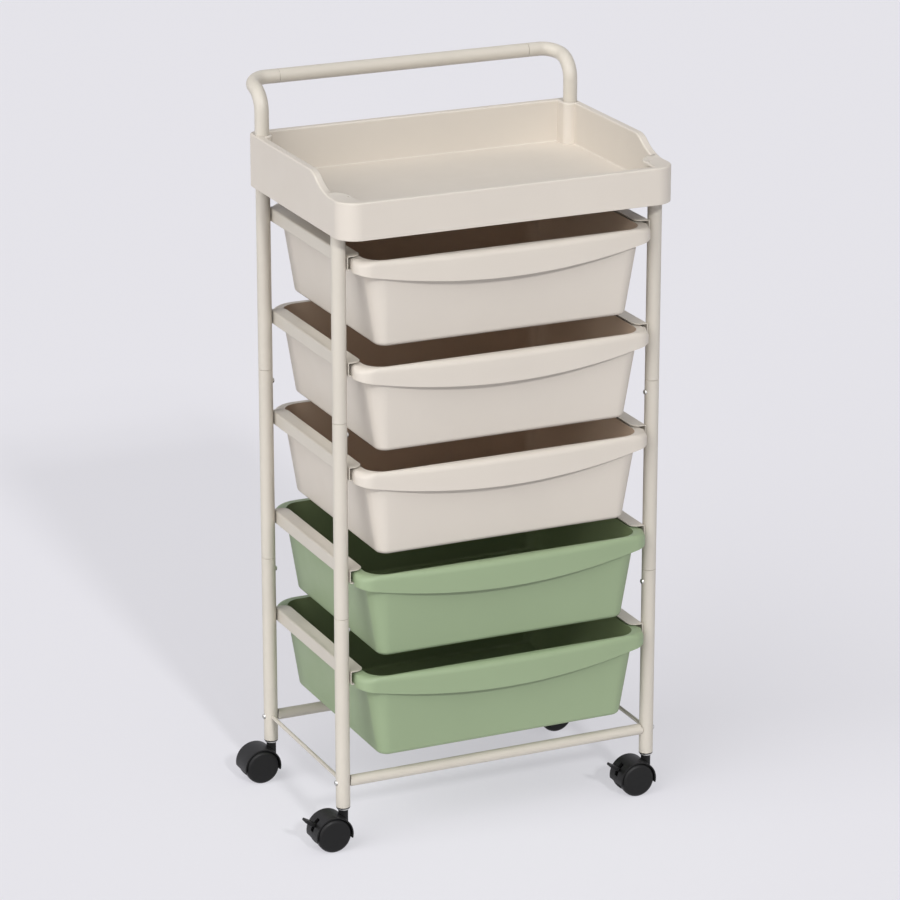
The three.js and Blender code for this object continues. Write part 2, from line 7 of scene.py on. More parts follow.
import bmesh
import bpy
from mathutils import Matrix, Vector


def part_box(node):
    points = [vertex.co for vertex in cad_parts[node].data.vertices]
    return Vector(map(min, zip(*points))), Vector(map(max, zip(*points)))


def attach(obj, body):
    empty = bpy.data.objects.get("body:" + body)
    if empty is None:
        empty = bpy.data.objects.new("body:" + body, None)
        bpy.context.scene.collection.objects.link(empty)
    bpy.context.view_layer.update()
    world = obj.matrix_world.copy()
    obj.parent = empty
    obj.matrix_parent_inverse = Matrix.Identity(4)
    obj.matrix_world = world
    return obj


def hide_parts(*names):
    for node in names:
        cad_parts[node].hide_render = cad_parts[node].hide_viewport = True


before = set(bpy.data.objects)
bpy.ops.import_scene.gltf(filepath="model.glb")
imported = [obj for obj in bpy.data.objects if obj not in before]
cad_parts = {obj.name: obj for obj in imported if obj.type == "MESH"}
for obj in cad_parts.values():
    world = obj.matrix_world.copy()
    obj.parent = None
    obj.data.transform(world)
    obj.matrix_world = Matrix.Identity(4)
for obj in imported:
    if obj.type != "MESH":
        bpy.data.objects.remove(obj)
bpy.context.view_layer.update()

MM = 0.001
TINY = 0.02 * MM
WELD_GAP = TINY / 20

# Angles in degrees from which an edge is sharp, and up to which a surface is shaded smooth
SHARP_ANGLE = 40
SMOOTH_ANGLE = 38

# Places and sizes read from the frame
SIDES = {"left": -1, "right": 1}
CORNERS = [f"{depth}_{side}" for depth in ("front", "back") for side in SIDES]
DRAWERS = range(1, 6)
GREEN_FROM = 4


def low(node):
    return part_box(node)[0]


def high(node):
    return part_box(node)[1]


def middle(node):
    return (low(node) + high(node)) / 2


POST = {corner: middle(f"post_{corner}_upper") * Vector((1, 1, 0)) for corner in CORNERS}
CENTRE = (POST["front_left"] + POST["back_right"]) / 2
POST_X = POST["front_right"].x - CENTRE.x
POST_Y = POST["back_right"].y - CENTRE.y
TUBE_R = (high("post_front_left_upper").x - low("post_front_left_upper").x) / 2
POST_FOOT_Z = low("post_front_left_lower").z
SEAM_LOW_Z = low("post_front_left_middle").z
SEAM_HIGH_Z = low("post_front_left_upper").z
POST_TOP_Z = high("post_front_left_upper").z
BASE_Z = middle("base_tube_front").z
BASE_TUBE_R = high("base_tube_front").z - BASE_Z
SIDE_ROD_R = high("side_rod_left").z - BASE_Z
RUNNER_TOP_Z = {i: high(f"runner_{i}_left").z for i in DRAWERS}
TRAY_LOW, TRAY_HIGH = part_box("top_tray")
GRIP = middle("handle_grip")

# Tube wall, seams and round-piece facets
TUBE_WALL = 1 * MM
TUBE_FACETS = 48
WIRE_FACETS = 24
SEAM_GAP = 0.3 * MM
SEAM_ROUND = 0.35 * MM
SPIGOT_LENGTH = 22 * MM
BASE_JOINT = 1.4 * MM
SEAT_R = TUBE_R + BASE_JOINT
SEAT_REACH = 4 * BASE_TUBE_R

# Drawer runner, measured from its top face and from the cart's middle plane
SHEET = 1.2 * MM
SHEET_EDGE_ROUND = 0.25 * MM
SHEET_EDGE_ANGLE = 60
RUNNER_WEB_X = CENTRE.x - low("runner_1_left").x
RUNNER_FLANGE_X = 163 * MM
RUNNER_SHELF_X = 170 * MM
RUNNER_HEIGHT = high("runner_1_left").z - low("runner_1_left").z
RUNNER_HALF_Y = high("runner_1_left").y - CENTRE.y
RUNNER_CORNER_R = 10 * MM
FOLD_R = 2 * MM

# Drawer moulding: its inside, its rim and its lip, measured from the runner's top face
DRAWER_WALL = 2.4 * MM
MOUTH_HALF_X = 163.1 * MM
MOUTH_FRONT_Y = -131 * MM
MOUTH_BACK_Y = 129.1 * MM
MOUTH_CORNER_R = 21.6 * MM
CORNER_REACH = 1.15 * MOUTH_CORNER_R
FLOOR_HALF_X = 147.1 * MM
FLOOR_FRONT_Y = -119.6 * MM
FLOOR_BACK_Y = 118.6 * MM
FLOOR_CORNER_R = 10.6 * MM
FLOOR_DROP = 99.6 * MM
FLOOR_ROUND = 3 * MM
RIM_DROP = 2.7 * MM
RIM_HALF_X = 175.6 * MM
RIM_FRONT_Y = -134 * MM
RIM_BACK_Y = 143 * MM
RIM_FRONT_R = 18 * MM
RIM_BACK_R = 33 * MM
SKIRT_DROP = 14 * MM
LIP_BACK_Y = -112 * MM
LIP_END_SLOPE = 1.5 * MM
LIP_END_DROP = 17 * MM
LIP_DROP = 35 * MM
LIP_BOW = 8 * MM
LIP_COLUMNS = 24
SHOULDER_PERCENT = 62
RIM_EDGE_ROUND = 0.8 * MM
RIM_EDGE_ANGLE = 55

# Tray moulding
TRAY_WALL = 9 * MM
TRAY_SKIRT = 5 * MM
TRAY_FLOOR_Z = 716 * MM
TRAY_FLOOR_THICK = 3 * MM
TRAY_FRONT_R = 24 * MM
TRAY_BACK_R = 12 * MM
TRAY_FILLET = 1.5 * MM
TRAY_LOW_TOP_Z = 745.5 * MM
STEP_FOOT_Y = -85.4 * MM
STEP_TOP_Y = -60 * MM
STEP_FOOT_BLEND = 20 * MM
STEP_TOP_BLEND = 8 * MM
STEP_ROOM = 10 * MM
TOP_EDGE_ROUND = 2 * MM
FOOT_EDGE_ROUND = 0.9 * MM
BOSS_R = 10.7 * MM
FRONT_BOSS_R = 9.7 * MM
BOSS_LIFT = 1.5 * MM
BLOCK_ROUND = 9 * MM
SOCKET_R = 8.35 * MM
SOCKET_DEPTH = 25 * MM
SOCKET_FACETS = 40
PLATE_THICK = 3 * MM
PLATE_X = 173 * MM
PLATE_Y = -93 * MM
PLATE_ROUND = 14 * MM
PIN_HOLE_R = 1.5 * MM
PIN_HOLE_X = 178 * MM
PIN_HOLE_Y = -110.5 * MM
WALL_MIDDLE_X = TRAY_HIGH.x - CENTRE.x - TRAY_WALL / 2

# Handle: bends given by the length of tube that each one takes from its corner
LEG_BEND_Z = 808 * MM
LEG_BEND_CUT = 19 * MM
GRIP_BEND_CUT = 21 * MM
BEND_STEPS = 14
TUBE_END_ANGLE = 50

# Casters, modelled at the front left post; the wheels trail towards -X
HOME = POST["front_left"]
TRAIL = 16 * MM
WHEEL_R = 20 * MM
AXLE = HOME + Vector((-TRAIL, 0, WHEEL_R))
CASTER_FACETS = 32

# Hood, with its web and boss about the axle and its neck about the post's axis
HOOD_R = 22.2 * MM
HOOD_WALL = 1.6 * MM
HOOD_HALF_Y = 15 * MM
HOOD_START = math.radians(-14)
HOOD_SWEEP = math.radians(204)
HOOD_STEPS = 40
HOOD_EDGE_ROUND = 0.45 * MM
HOOD_EDGE_ANGLE = 45
WEB_HALF_Y = 5.4 * MM
WEB_OVERLAP = 1 * MM
HOOD_BOSS_R = 7 * MM
NECK_R = 5.5 * MM
NECK_FOOT_Z = 26 * MM
NECK_TOP_Z = 44.9 * MM
SLOT_NEAR_R = 11 * MM
SLOT_FAR_R = HOOD_R + 4 * MM
SLOT_HALF_Y = 3.3 * MM
SLOT_HALF_LENGTH = 8 * MM

# Axle, and the wheel's half section in mm: radius and distance from the caster's middle plane
AXLE_BORE_R = 2.75 * MM
AXLE_R = 2.4 * MM
AXLE_HALF_Y = 14 * MM
AXLE_CHAMFER = 0.4 * MM
WHEEL_BORE_END = 14.2 * MM
WHEEL_INNER_Y = 6 * MM
WHEEL_SECTION_MM = (
    (18.2, 6), (19.4, 6.4), (20, 7.6), (20, 11.6), (19.7, 12.9), (19.1, 13.9), (18.3, 14.7), (17.4, 15.3),
    (16.6, 15.7), (15.6, 15.9), (12, 16), (6, 16),
)
WHEEL_FACETS = 64
WHEEL_SMOOTH_ANGLE = 32

# Plug in the post's foot, and the stem with its collar
PLUG_TOP_Z = 72 * MM
PLUG_FLANGE_R = 7.9 * MM
PLUG_FLANGE_TOP_Z = 47.8 * MM
PLUG_FLANGE_EDGE_Z = 47.1 * MM
PLUG_FOOT_Z = 46.8 * MM
PLUG_CHAMFER = 0.3 * MM
PLUG_EDGE_ROUND = 0.2 * MM
STEM_R = 3.8 * MM
STEM_FOOT_Z = 36.3 * MM
COLLAR_R = 7 * MM
COLLAR_FOOT_R = 6.7 * MM
COLLAR_FOOT_Z = 45.1 * MM
COLLAR_EDGE_Z = 45.4 * MM
COLLAR_TOP_Z = 46.75 * MM

# Brake lever, drawn along +X from the axle and then turned up to its angle
LEVER_ANGLE = math.radians(148)
LEVER_PIVOT_R = 14 * MM
LEVER_PIVOT = AXLE + Vector((LEVER_PIVOT_R * math.cos(LEVER_ANGLE), 0, LEVER_PIVOT_R * math.sin(LEVER_ANGLE)))
LEVER_ARM_END = 22.6 * MM
LEVER_ARM_HALF_Y = 2.9 * MM
LEVER_ARM_HALF_Z = 1.8 * MM
LEVER_FLARE_LENGTH = 1.6 * MM
LEVER_FLARE = (1, 1.95, 1.1)
LEVER_EDGE_ROUND = 0.5 * MM
LEVER_EDGE_ANGLE = 30
LEVER_HUB_R = 3.3 * MM
LEVER_HUB_FACETS = 24
LEVER_PIN_R = 1.8 * MM
LEVER_PIN_HALF_Y = 5 * MM
LEVER_PIN_FACETS = 20

# Stretches of the lever's tab: length in mm, width and thickness as shares of the last ones, offset in mm
LEVER_TAB = ((3.6, 1, 1, 0), (4.4, 0.95, 0.95, 0), (3.8, 0.85, 0.85, -0.3), (2, 0.6, 0.6, -0.4))

# Dome screws: the section gives shares of the radius and height, from the rim to the crown
SCREW_R = 3.1 * MM
SCREW_HEIGHT = 1.9 * MM
SCREW_SUNK = 0.8 * MM
SCREW_SECTION = ((1, 0.35), (0.86, 0.7), (0.66, 0.9), (0.45, 1))
SCREW_BELOW_SEAM = 14.5 * MM
SCREW_FACETS = 24
RECESS_HALF = 0.32 * MM
RECESS_REACH = 0.62 * SCREW_R
RECESS_FLOOR = 0.5 * SCREW_HEIGHT
RECESS_TOP = 2 * SCREW_HEIGHT


# Modelling steps, each done as by hand on one open piece

def alone():
    """Back to object mode with nothing selected."""
    if bpy.context.mode != "OBJECT":
        bpy.ops.object.mode_set(mode="OBJECT")
    bpy.ops.object.select_all(action="DESELECT")


def take(piece):
    """Makes one piece the only selected one."""
    alone()
    piece.select_set(True)
    bpy.context.view_layer.objects.active = piece


def open_piece(piece):
    """Opens one piece for editing."""
    take(piece)
    bpy.ops.object.mode_set(mode="EDIT")


def begin(add, name, **at):
    """Adds a primitive by itself, settles its place in its mesh and opens it with everything selected."""
    alone()
    add(**at)
    piece = bpy.context.object
    piece.name = name
    piece.data.name = name
    bpy.ops.object.transform_apply(location=True, rotation=True, scale=True)
    bpy.ops.object.mode_set(mode="EDIT")
    bpy.ops.mesh.select_all(action="SELECT")
    return piece


def settle(piece, place, turn=(0, 0, 0)):
    """Turns a piece, moves it to its place and settles both in its mesh."""
    take(piece)
    piece.rotation_euler = turn
    piece.location = place
    bpy.ops.object.transform_apply(location=True, rotation=True, scale=True)


def block(name, corner, opposite):
    """Opens a new box between two corners."""
    return begin(bpy.ops.mesh.primitive_cube_add, name, size=1,
                 location=(corner + opposite) / 2, scale=opposite - corner)


def flat_sheet(name, place, width, length):
    """Opens a new flat sheet, width along X and length along Y."""
    sheet = begin(bpy.ops.mesh.primitive_plane_add, name, size=1, location=place)
    bpy.ops.transform.resize(value=(width, length, 1), center_override=place)
    return sheet


def open_mesh():
    return bmesh.from_edit_mesh(bpy.context.edit_object.data)


def keep_selection(mesh):
    mesh.select_flush_mode()
    bmesh.update_edit_mesh(bpy.context.edit_object.data)


def selected_points():
    return [v.co.copy() for v in open_mesh().verts if v.select]


def same(a, b):
    """Whether two measures are the same, but for rounding."""
    return abs(a - b) < TINY


def at_height(z):
    return lambda p: same(p.z, z)


def choose(kind, wanted):
    """Selects just the vertices, edges or faces that are wanted."""
    bpy.ops.mesh.select_mode(type=kind)
    bpy.ops.mesh.select_all(action="DESELECT")
    mesh = open_mesh()
    for part in {"VERT": mesh.verts, "EDGE": mesh.edges, "FACE": mesh.faces}[kind]:
        if wanted(part):
            part.select_set(True)
    keep_selection(mesh)


def pick(kind, test):
    """Selects just the vertices, edges or faces whose corners all pass the test."""
    if kind == "VERT":
        choose(kind, lambda vertex: test(vertex.co))
    else:
        choose(kind, lambda part: all(test(v.co) for v in part.verts))


def pick_upright(test):
    """Selects the upright edges whose two ends pass the test."""
    def wanted(edge):
        a, b = (v.co for v in edge.verts)
        return (a - b).xy.length < TINY and test(a) and test(b)

    choose("EDGE", wanted)


def pick_open_edges():
    """Selects the edges where a sheet ends."""
    bpy.ops.mesh.select_mode(type="EDGE")
    bpy.ops.mesh.select_all(action="DESELECT")
    bpy.ops.mesh.select_non_manifold(
        extend=False, use_wire=False, use_boundary=True,
        use_multi_face=False, use_non_contiguous=False, use_verts=False,
    )


def pick_open_points(test):
    """Selects the points where a sheet ends, as far as they pass the test."""
    pick_open_edges()
    bpy.ops.mesh.select_mode(type="VERT")
    mesh = open_mesh()
    for point in mesh.verts:
        if point.select and not test(point.co):
            point.select_set(False)
    keep_selection(mesh)


def extrude(shift):
    bpy.ops.mesh.extrude_region_move(TRANSFORM_OT_translate={"value": shift})


def bevel(width, segments, affect="EDGES"):
    bpy.ops.mesh.bevel(offset_type="OFFSET", offset=width, segments=segments, profile=0.5, affect=affect)


def slice_all(point, normal):
    """Cuts a row of edges right through the open piece."""
    bpy.ops.mesh.select_all(action="SELECT")
    bpy.ops.mesh.bisect(plane_co=point, plane_no=normal)


def face_up(test):
    """Turns an open sheet over if its faces that pass the test point down."""
    mesh = open_mesh()
    mesh.normal_update()
    rise = sum(f.normal.z for f in mesh.faces if all(test(v.co) for v in f.verts))
    if rise <= 0:
        bpy.ops.mesh.select_all(action="SELECT")
        bpy.ops.mesh.flip_normals()


def faces_out():
    """Closes the seams and points all faces out."""
    bpy.ops.mesh.select_mode(type="FACE")
    bpy.ops.mesh.select_all(action="SELECT")
    bpy.ops.mesh.remove_doubles(threshold=WELD_GAP)
    bpy.ops.mesh.normals_make_consistent(inside=False)


def add_modifier(piece, kind, **settings):
    """Adds a modifier with its settings and applies it."""
    take(piece)
    modifier = piece.modifiers.new(kind.title(), kind)
    for key, value in settings.items():
        setattr(modifier, key, value)
    bpy.ops.object.modifier_apply(modifier=modifier.name)


def cut(piece, tool, operation="DIFFERENCE"):
    """Cuts one piece by another, or joins the two, and removes the tool."""
    add_modifier(piece, "BOOLEAN", operation=operation, object=tool, solver="EXACT")
    bpy.data.objects.remove(tool)


def soften(piece, width, segments=2, angle=SHARP_ANGLE):
    """Rounds the sharp edges of a closed piece."""
    add_modifier(
        piece, "BEVEL", width=width, segments=segments, limit_method="ANGLE",
        angle_limit=math.radians(angle), use_clamp_overlap=True,
    )


def smooth(piece, angle=SMOOTH_ANGLE):
    """Points the faces out and shades the piece smooth up to an angle, with flat faces kept flat."""
    open_piece(piece)
    faces_out()
    bpy.ops.object.mode_set(mode="OBJECT")
    bpy.ops.object.shade_smooth_by_angle(angle=math.radians(angle))
    add_modifier(piece, "WEIGHTED_NORMAL", keep_sharp=True)


def turned(name, profile, place, along="Z", facets=TUBE_FACETS):
    """A turned piece: a disc drawn out through (radius, height) rings, then laid along an axis."""
    radius, height = profile[0]
    piece = begin(
        bpy.ops.mesh.primitive_circle_add, name, vertices=facets, radius=radius,
        fill_type="NGON", location=(0, 0, height),
    )
    for (r0, h0), (r1, h1) in zip(profile, profile[1:]):
        extrude((0, 0, h1 - h0))
        bpy.ops.transform.resize(value=(r1 / r0, r1 / r0, 1), center_override=(0, 0, h1))
    faces_out()
    quarter = math.pi / 2
    settle(piece, place, {"X": (0, quarter, 0), "Y": (-quarter, 0, 0), "Z": (0, 0, 0)}[along])
    return piece


def rod(name, radius, start, end, place, along="Z", facets=TUBE_FACETS):
    """A plain round bar from one height to another along its axis."""
    return turned(name, [(radius, start), (radius, end)], place, along, facets)


def copy_of(piece, name, shift):
    """A copy with a mesh of its own, set off by a shift."""
    take(piece)
    bpy.ops.object.duplicate(linked=False)
    twin = bpy.context.object
    twin.name = name
    twin.data.name = name
    twin.location = shift
    bpy.ops.object.transform_apply(location=True, rotation=False, scale=False)
    return twin


def dress(piece, slot, body, *nodes):
    """Gives a finished piece its material and its body, in place of the solids it stands for."""
    piece.data.materials.clear()
    piece.data.materials.append(FINISH[slot])
    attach(piece, body)
    if nodes:
        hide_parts(*nodes)


# Finishes

COAT_COLOUR = (0.585, 0.543, 0.474)
BEIGE_COLOUR = (0.64, 0.588, 0.522)
# Inside faces of the beige tubs: painted shade, a darker and warmer beige that stands in for the dim light
# inside a drawer
BEIGE_PAINTED_INSIDE_SHADE = (0.59, 0.455, 0.345)
SAGE_COLOUR = (0.282, 0.36, 0.216)
# Inside faces of the sage tubs: painted shade, a darker and warmer sage that stands in for the dim light
# inside a drawer
SAGE_PAINTED_INSIDE_SHADE = (0.23, 0.285, 0.145)
BLACK_COLOUR = (0.0075, 0.0075, 0.0075)
ZINC_COLOUR = (0.62, 0.62, 0.6)
SATIN = {"rough_low": 0.42, "rough_high": 0.55, "gloss": 0.4}
DULL = {"rough_low": 0.4, "rough_high": 0.55, "gloss": 0.25}

# Name of the mark on the faces that look into a tub, which get painted shade
INSIDE_SHADE_MARK = "inside"

# Noise stays mostly between these values
NOISE_LOW = 0.3
NOISE_HIGH = 0.7


def finish_nodes(name):
    """A new material with a principled shader, and a function that adds a node to it."""
    finish = bpy.data.materials.new(name)
    finish.use_nodes = True
    tree = finish.node_tree
    shader = tree.nodes["Principled BSDF"]

    def node(kind, **settings):
        made = tree.nodes.new(kind)
        for key, value in settings.items():
            setattr(made, key, value)
        return made

    return finish, tree, shader, node


def noise(tree, node, scale, detail, roughness=0.5):
    """Noise over the piece's own coordinates, with features about 1/scale metres wide."""
    place = node("ShaderNodeTexCoord")
    made = node("ShaderNodeTexNoise")
    made.inputs["Scale"].default_value = scale
    made.inputs["Detail"].default_value = detail
    made.inputs["Roughness"].default_value = roughness
    tree.links.new(place.outputs["Object"], made.inputs["Vector"])
    return made.outputs["Fac"]


def shades(tree, node, source, colour, darkest, lightest):
    """Turns noise into a drift between a darker and a lighter shade of one colour."""
    made = node("ShaderNodeValToRGB")
    stops = ((NOISE_LOW, darkest), (NOISE_HIGH, lightest))
    for element, (position, share) in zip(made.color_ramp.elements, stops):
        element.position = position
        element.color = (*(channel * share for channel in colour), 1)
    tree.links.new(source, made.inputs["Fac"])
    return made.outputs["Color"]


def spread(tree, node, source, lowest, highest):
    """Maps noise to a range of numbers."""
    made = node("ShaderNodeMapRange")
    made.inputs["From Min"].default_value = NOISE_LOW
    made.inputs["From Max"].default_value = NOISE_HIGH
    made.inputs["To Min"].default_value = lowest
    made.inputs["To Max"].default_value = highest
    tree.links.new(source, made.inputs["Value"])
    return made.outputs["Result"]


def relief(tree, node, source, shader, strength, depth, under=None):
    """Adds surface relief to the shader, over an earlier relief where there is one."""
    made = node("ShaderNodeBump")
    made.inputs["Strength"].default_value = strength
    made.inputs["Distance"].default_value = depth
    tree.links.new(source, made.inputs["Height"])
    if under:
        tree.links.new(under, made.inputs["Normal"])
    tree.links.new(made.outputs["Normal"], shader.inputs["Normal"])
    return made.outputs["Normal"]


def powder_coat(name, colour):
    """Satin powder coat: a fine orange-peel skin with a faint drift in tone and gloss."""
    finish, tree, shader, node = finish_nodes(name)
    drift = noise(tree, node, scale=9, detail=3)
    tone = shades(tree, node, drift, colour, darkest=0.97, lightest=1.02)
    tree.links.new(tone, shader.inputs["Base Color"])
    cloud = noise(tree, node, scale=45, detail=4)
    tree.links.new(spread(tree, node, cloud, lowest=0.36, highest=0.48), shader.inputs["Roughness"])
    peel = noise(tree, node, scale=620, detail=2)
    coarse = relief(tree, node, peel, shader, strength=0.10, depth=0.25 * MM)
    grain = noise(tree, node, scale=2600, detail=2)
    relief(tree, node, grain, shader, strength=0.06, depth=0.08 * MM, under=coarse)
    shader.inputs["Specular IOR Level"].default_value = 0.45
    return finish


def moulded_plastic(name, colour, rough_low, rough_high, gloss, inside=None):
    """Satin moulded plastic: fine grain, cloudy gloss, a drift in tone and, where given, painted shade inside
    a tub: a darker, warmer colour on the marked inside faces.
    """
    finish, tree, shader, node = finish_nodes(name)
    drift = noise(tree, node, scale=5, detail=4, roughness=0.55)
    tone = shades(tree, node, drift, colour, darkest=0.965, lightest=1.02)
    # Painted shade: the marked faces inside a tub are mixed to the darker inside colour
    if inside:
        shade_mark = node("ShaderNodeAttribute", attribute_name=INSIDE_SHADE_MARK)
        painted_shade_mix = node("ShaderNodeMixRGB")
        painted_shade_mix.inputs["Color2"].default_value = (*inside, 1)
        tree.links.new(shade_mark.outputs["Fac"], painted_shade_mix.inputs["Fac"])
        tree.links.new(tone, painted_shade_mix.inputs["Color1"])
        tone = painted_shade_mix.outputs["Color"]
    tree.links.new(tone, shader.inputs["Base Color"])
    cloud = noise(tree, node, scale=24, detail=5)
    tree.links.new(spread(tree, node, cloud, rough_low, rough_high), shader.inputs["Roughness"])
    grain = noise(tree, node, scale=1500, detail=3, roughness=0.6)
    fine = relief(tree, node, grain, shader, strength=0.09, depth=0.12 * MM)
    wave = noise(tree, node, scale=14, detail=1)
    relief(tree, node, wave, shader, strength=0.05, depth=0.6 * MM, under=fine)
    shader.inputs["Specular IOR Level"].default_value = gloss
    return finish


def plated_steel(name, colour):
    """Zinc-plated steel with a fine turned grain."""
    finish, tree, shader, node = finish_nodes(name)
    drift = noise(tree, node, scale=160, detail=4)
    tone = shades(tree, node, drift, colour, darkest=0.85, lightest=1.05)
    tree.links.new(tone, shader.inputs["Base Color"])
    cloud = noise(tree, node, scale=420, detail=3)
    tree.links.new(spread(tree, node, cloud, lowest=0.24, highest=0.42), shader.inputs["Roughness"])
    grain = noise(tree, node, scale=3000, detail=2)
    relief(tree, node, grain, shader, strength=0.05, depth=0.05 * MM)
    shader.inputs["Metallic"].default_value = 1
    return finish


COAT = "beige_powder_coat"
BEIGE = "beige_plastic"
SAGE = "sage_plastic"
BLACK = "black_plastic"
ZINC = "zinc_steel"
FINISH = {
    COAT: powder_coat("beige_coat_finish", COAT_COLOUR),
    # Beige and sage take painted shade on the inside faces of their tubs
    BEIGE: moulded_plastic("beige_moulding_with_painted_inside_shade", BEIGE_COLOUR, inside=BEIGE_PAINTED_INSIDE_SHADE, **SATIN),
    SAGE: moulded_plastic("sage_moulding_with_painted_inside_shade", SAGE_COLOUR, inside=SAGE_PAINTED_INSIDE_SHADE, **SATIN),
    BLACK: moulded_plastic("black_moulding_finish", BLACK_COLOUR, **DULL),
    ZINC: plated_steel("zinc_plate_finish", ZINC_COLOUR),
}


# Frame tubes

def post_section(name, foot, top, spigot):
    """One post section: a bored tube, with a swaged spigot at its top where another section plugs on."""
    bore_r = TUBE_R - TUBE_WALL
    neck_r = bore_r - SEAM_GAP
    blind = top - 2 * TUBE_WALL
    profile = [
        (bore_r, blind), (bore_r, foot), (TUBE_R - SEAM_ROUND, foot), (TUBE_R, foot + SEAM_ROUND),
        (TUBE_R, top - SEAM_ROUND), (TUBE_R - SEAM_ROUND, top),
    ]
    if spigot:
        tip = top + SPIGOT_LENGTH
        profile += [(neck_r, top), (neck_r, tip - TUBE_WALL), (neck_r - TUBE_WALL, tip)]
    tube = turned(name, profile, POST["front_left"])
    smooth(tube)
    return tube


def posts():
    """Three plugged sections at each corner."""
    sections = {
        "lower": (POST_FOOT_Z, SEAM_LOW_Z - SEAM_GAP, True),
        "middle": (SEAM_LOW_Z, SEAM_HIGH_Z - SEAM_GAP, True),
        "upper": (SEAM_HIGH_Z, POST_TOP_Z, False),
    }
    for section, (foot, top, spigot) in sections.items():
        first = post_section(f"post_front_left_{section}_tube", foot, top, spigot)
        tubes = {"front_left": first}
        for corner in CORNERS[1:]:
            shift = POST[corner] - POST["front_left"]
            tubes[corner] = copy_of(first, f"post_{corner}_{section}_tube", shift)
        for corner, tube in tubes.items():
            dress(tube, COAT, "frame", f"post_{corner}_{section}")


def base_tubes():
    """Cross tubes with their ends hollowed to sit on the posts, and the thin rods along the sides."""
    for place, y in (("front", -POST_Y), ("rear", POST_Y)):
        heart = CENTRE + Vector((0, y, BASE_Z))
        tube = rod(f"base_tube_{place}_coped", BASE_TUBE_R, -POST_X, POST_X, heart, along="X")
        for sign in SIDES.values():
            seat = CENTRE + Vector((sign * POST_X, y, 0))
            cut(tube, rod("post_seat", SEAT_R, BASE_Z - SEAT_REACH, BASE_Z + SEAT_REACH, seat))
        smooth(tube)
        dress(tube, COAT, "frame", f"base_tube_{place}")
    half = POST_Y - TUBE_R + SEAM_ROUND
    for side, sign in SIDES.items():
        heart = CENTRE + Vector((sign * POST_X, 0, BASE_Z))
        wire = rod(f"side_rod_{side}_wire", SIDE_ROD_R, -half, half, heart, along="Y", facets=WIRE_FACETS)
        smooth(wire)
        dress(wire, COAT, "frame", f"side_rod_{side}")


def dome_screw(name, point, facing):
    """A pan-head screw with a cross recess, standing on a post towards +X or -X."""
    rings = [(SCREW_R, -SCREW_SUNK)]
    rings += [(share * SCREW_R, rise * SCREW_HEIGHT) for share, rise in SCREW_SECTION]
    head = turned(name, rings, Vector((0, 0, 0)), along="X", facets=SCREW_FACETS)
    for half_y, half_z in ((RECESS_HALF, RECESS_REACH), (RECESS_REACH, RECESS_HALF)):
        near = Vector((RECESS_FLOOR, -half_y, -half_z))
        far = Vector((RECESS_TOP, half_y, half_z))
        cut(head, block("screw_recess", near, far))
    settle(head, point, (0, 0, 0 if facing > 0 else math.pi))
    smooth(head)
    return head


def screws():
    """A screw under each post seam, facing inwards, and at each end of the base tubes, facing outwards."""
    first = {}
    made = []
    for corner in CORNERS:
        inward = -1 if corner.endswith("right") else 1
        places = {
            "high": (SEAM_HIGH_Z - SCREW_BELOW_SEAM, inward),
            "low": (SEAM_LOW_Z - SCREW_BELOW_SEAM, inward),
            "base": (BASE_Z, -inward),
        }
        for place, (z, facing) in places.items():
            point = POST[corner] + Vector((facing * TUBE_R, 0, z))
            name = f"screw_{corner}_{place}"
            if facing in first:
                original, start = first[facing]
                screw = copy_of(original, name, point - start)
            else:
                screw = dome_screw(name, point, facing)
                first[facing] = (screw, point)
            made.append(screw)
    for screw in made:
        dress(screw, ZINC, "frame")


# Runners

def runner(name, side):
    """A folded channel: flange over the drawer's rim, web on the posts and shelf under the rim."""
    sign = SIDES[side]
    top = RUNNER_TOP_Z[1]
    inner = CENTRE.x + sign * RUNNER_FLANGE_X
    outer = CENTRE.x + sign * RUNNER_WEB_X
    place = Vector(((inner + outer) / 2, CENTRE.y, top))
    sheet = flat_sheet(name, place, abs(outer - inner), 2 * RUNNER_HALF_Y)
    pick("EDGE", lambda p: same(p.x, outer))
    extrude((0, 0, -RUNNER_HEIGHT))
    extrude((sign * (RUNNER_SHELF_X - RUNNER_WEB_X), 0, 0))
    pick("VERT", lambda p: same(p.x, inner))
    bevel(RUNNER_CORNER_R, segments=8, affect="VERTICES")
    for fold_z in (top, top - RUNNER_HEIGHT):
        pick("EDGE", lambda p: same(p.x, outer) and same(p.z, fold_z))
        bevel(FOLD_R, segments=4)
    bpy.ops.mesh.select_all(action="SELECT")
    bpy.ops.mesh.normals_make_consistent(inside=False)
    face_up(at_height(top))
    add_modifier(sheet, "SOLIDIFY", thickness=SHEET, offset=-1, use_even_offset=True)
    soften(sheet, SHEET_EDGE_ROUND, angle=SHEET_EDGE_ANGLE)
    smooth(sheet)
    return sheet


def runners():
    """One channel for each side of each drawer."""
    for side in SIDES:
        first = runner(f"runner_1_{side}_channel", side)
        channels = {1: first}
        for i in DRAWERS[1:]:
            drop = Vector((0, 0, RUNNER_TOP_Z[i] - RUNNER_TOP_Z[1]))
            channels[i] = copy_of(first, f"runner_{i}_{side}_channel", drop)
        for i, channel in channels.items():
            dress(channel, COAT, "frame", f"runner_{i}_{side}")


# Drawers

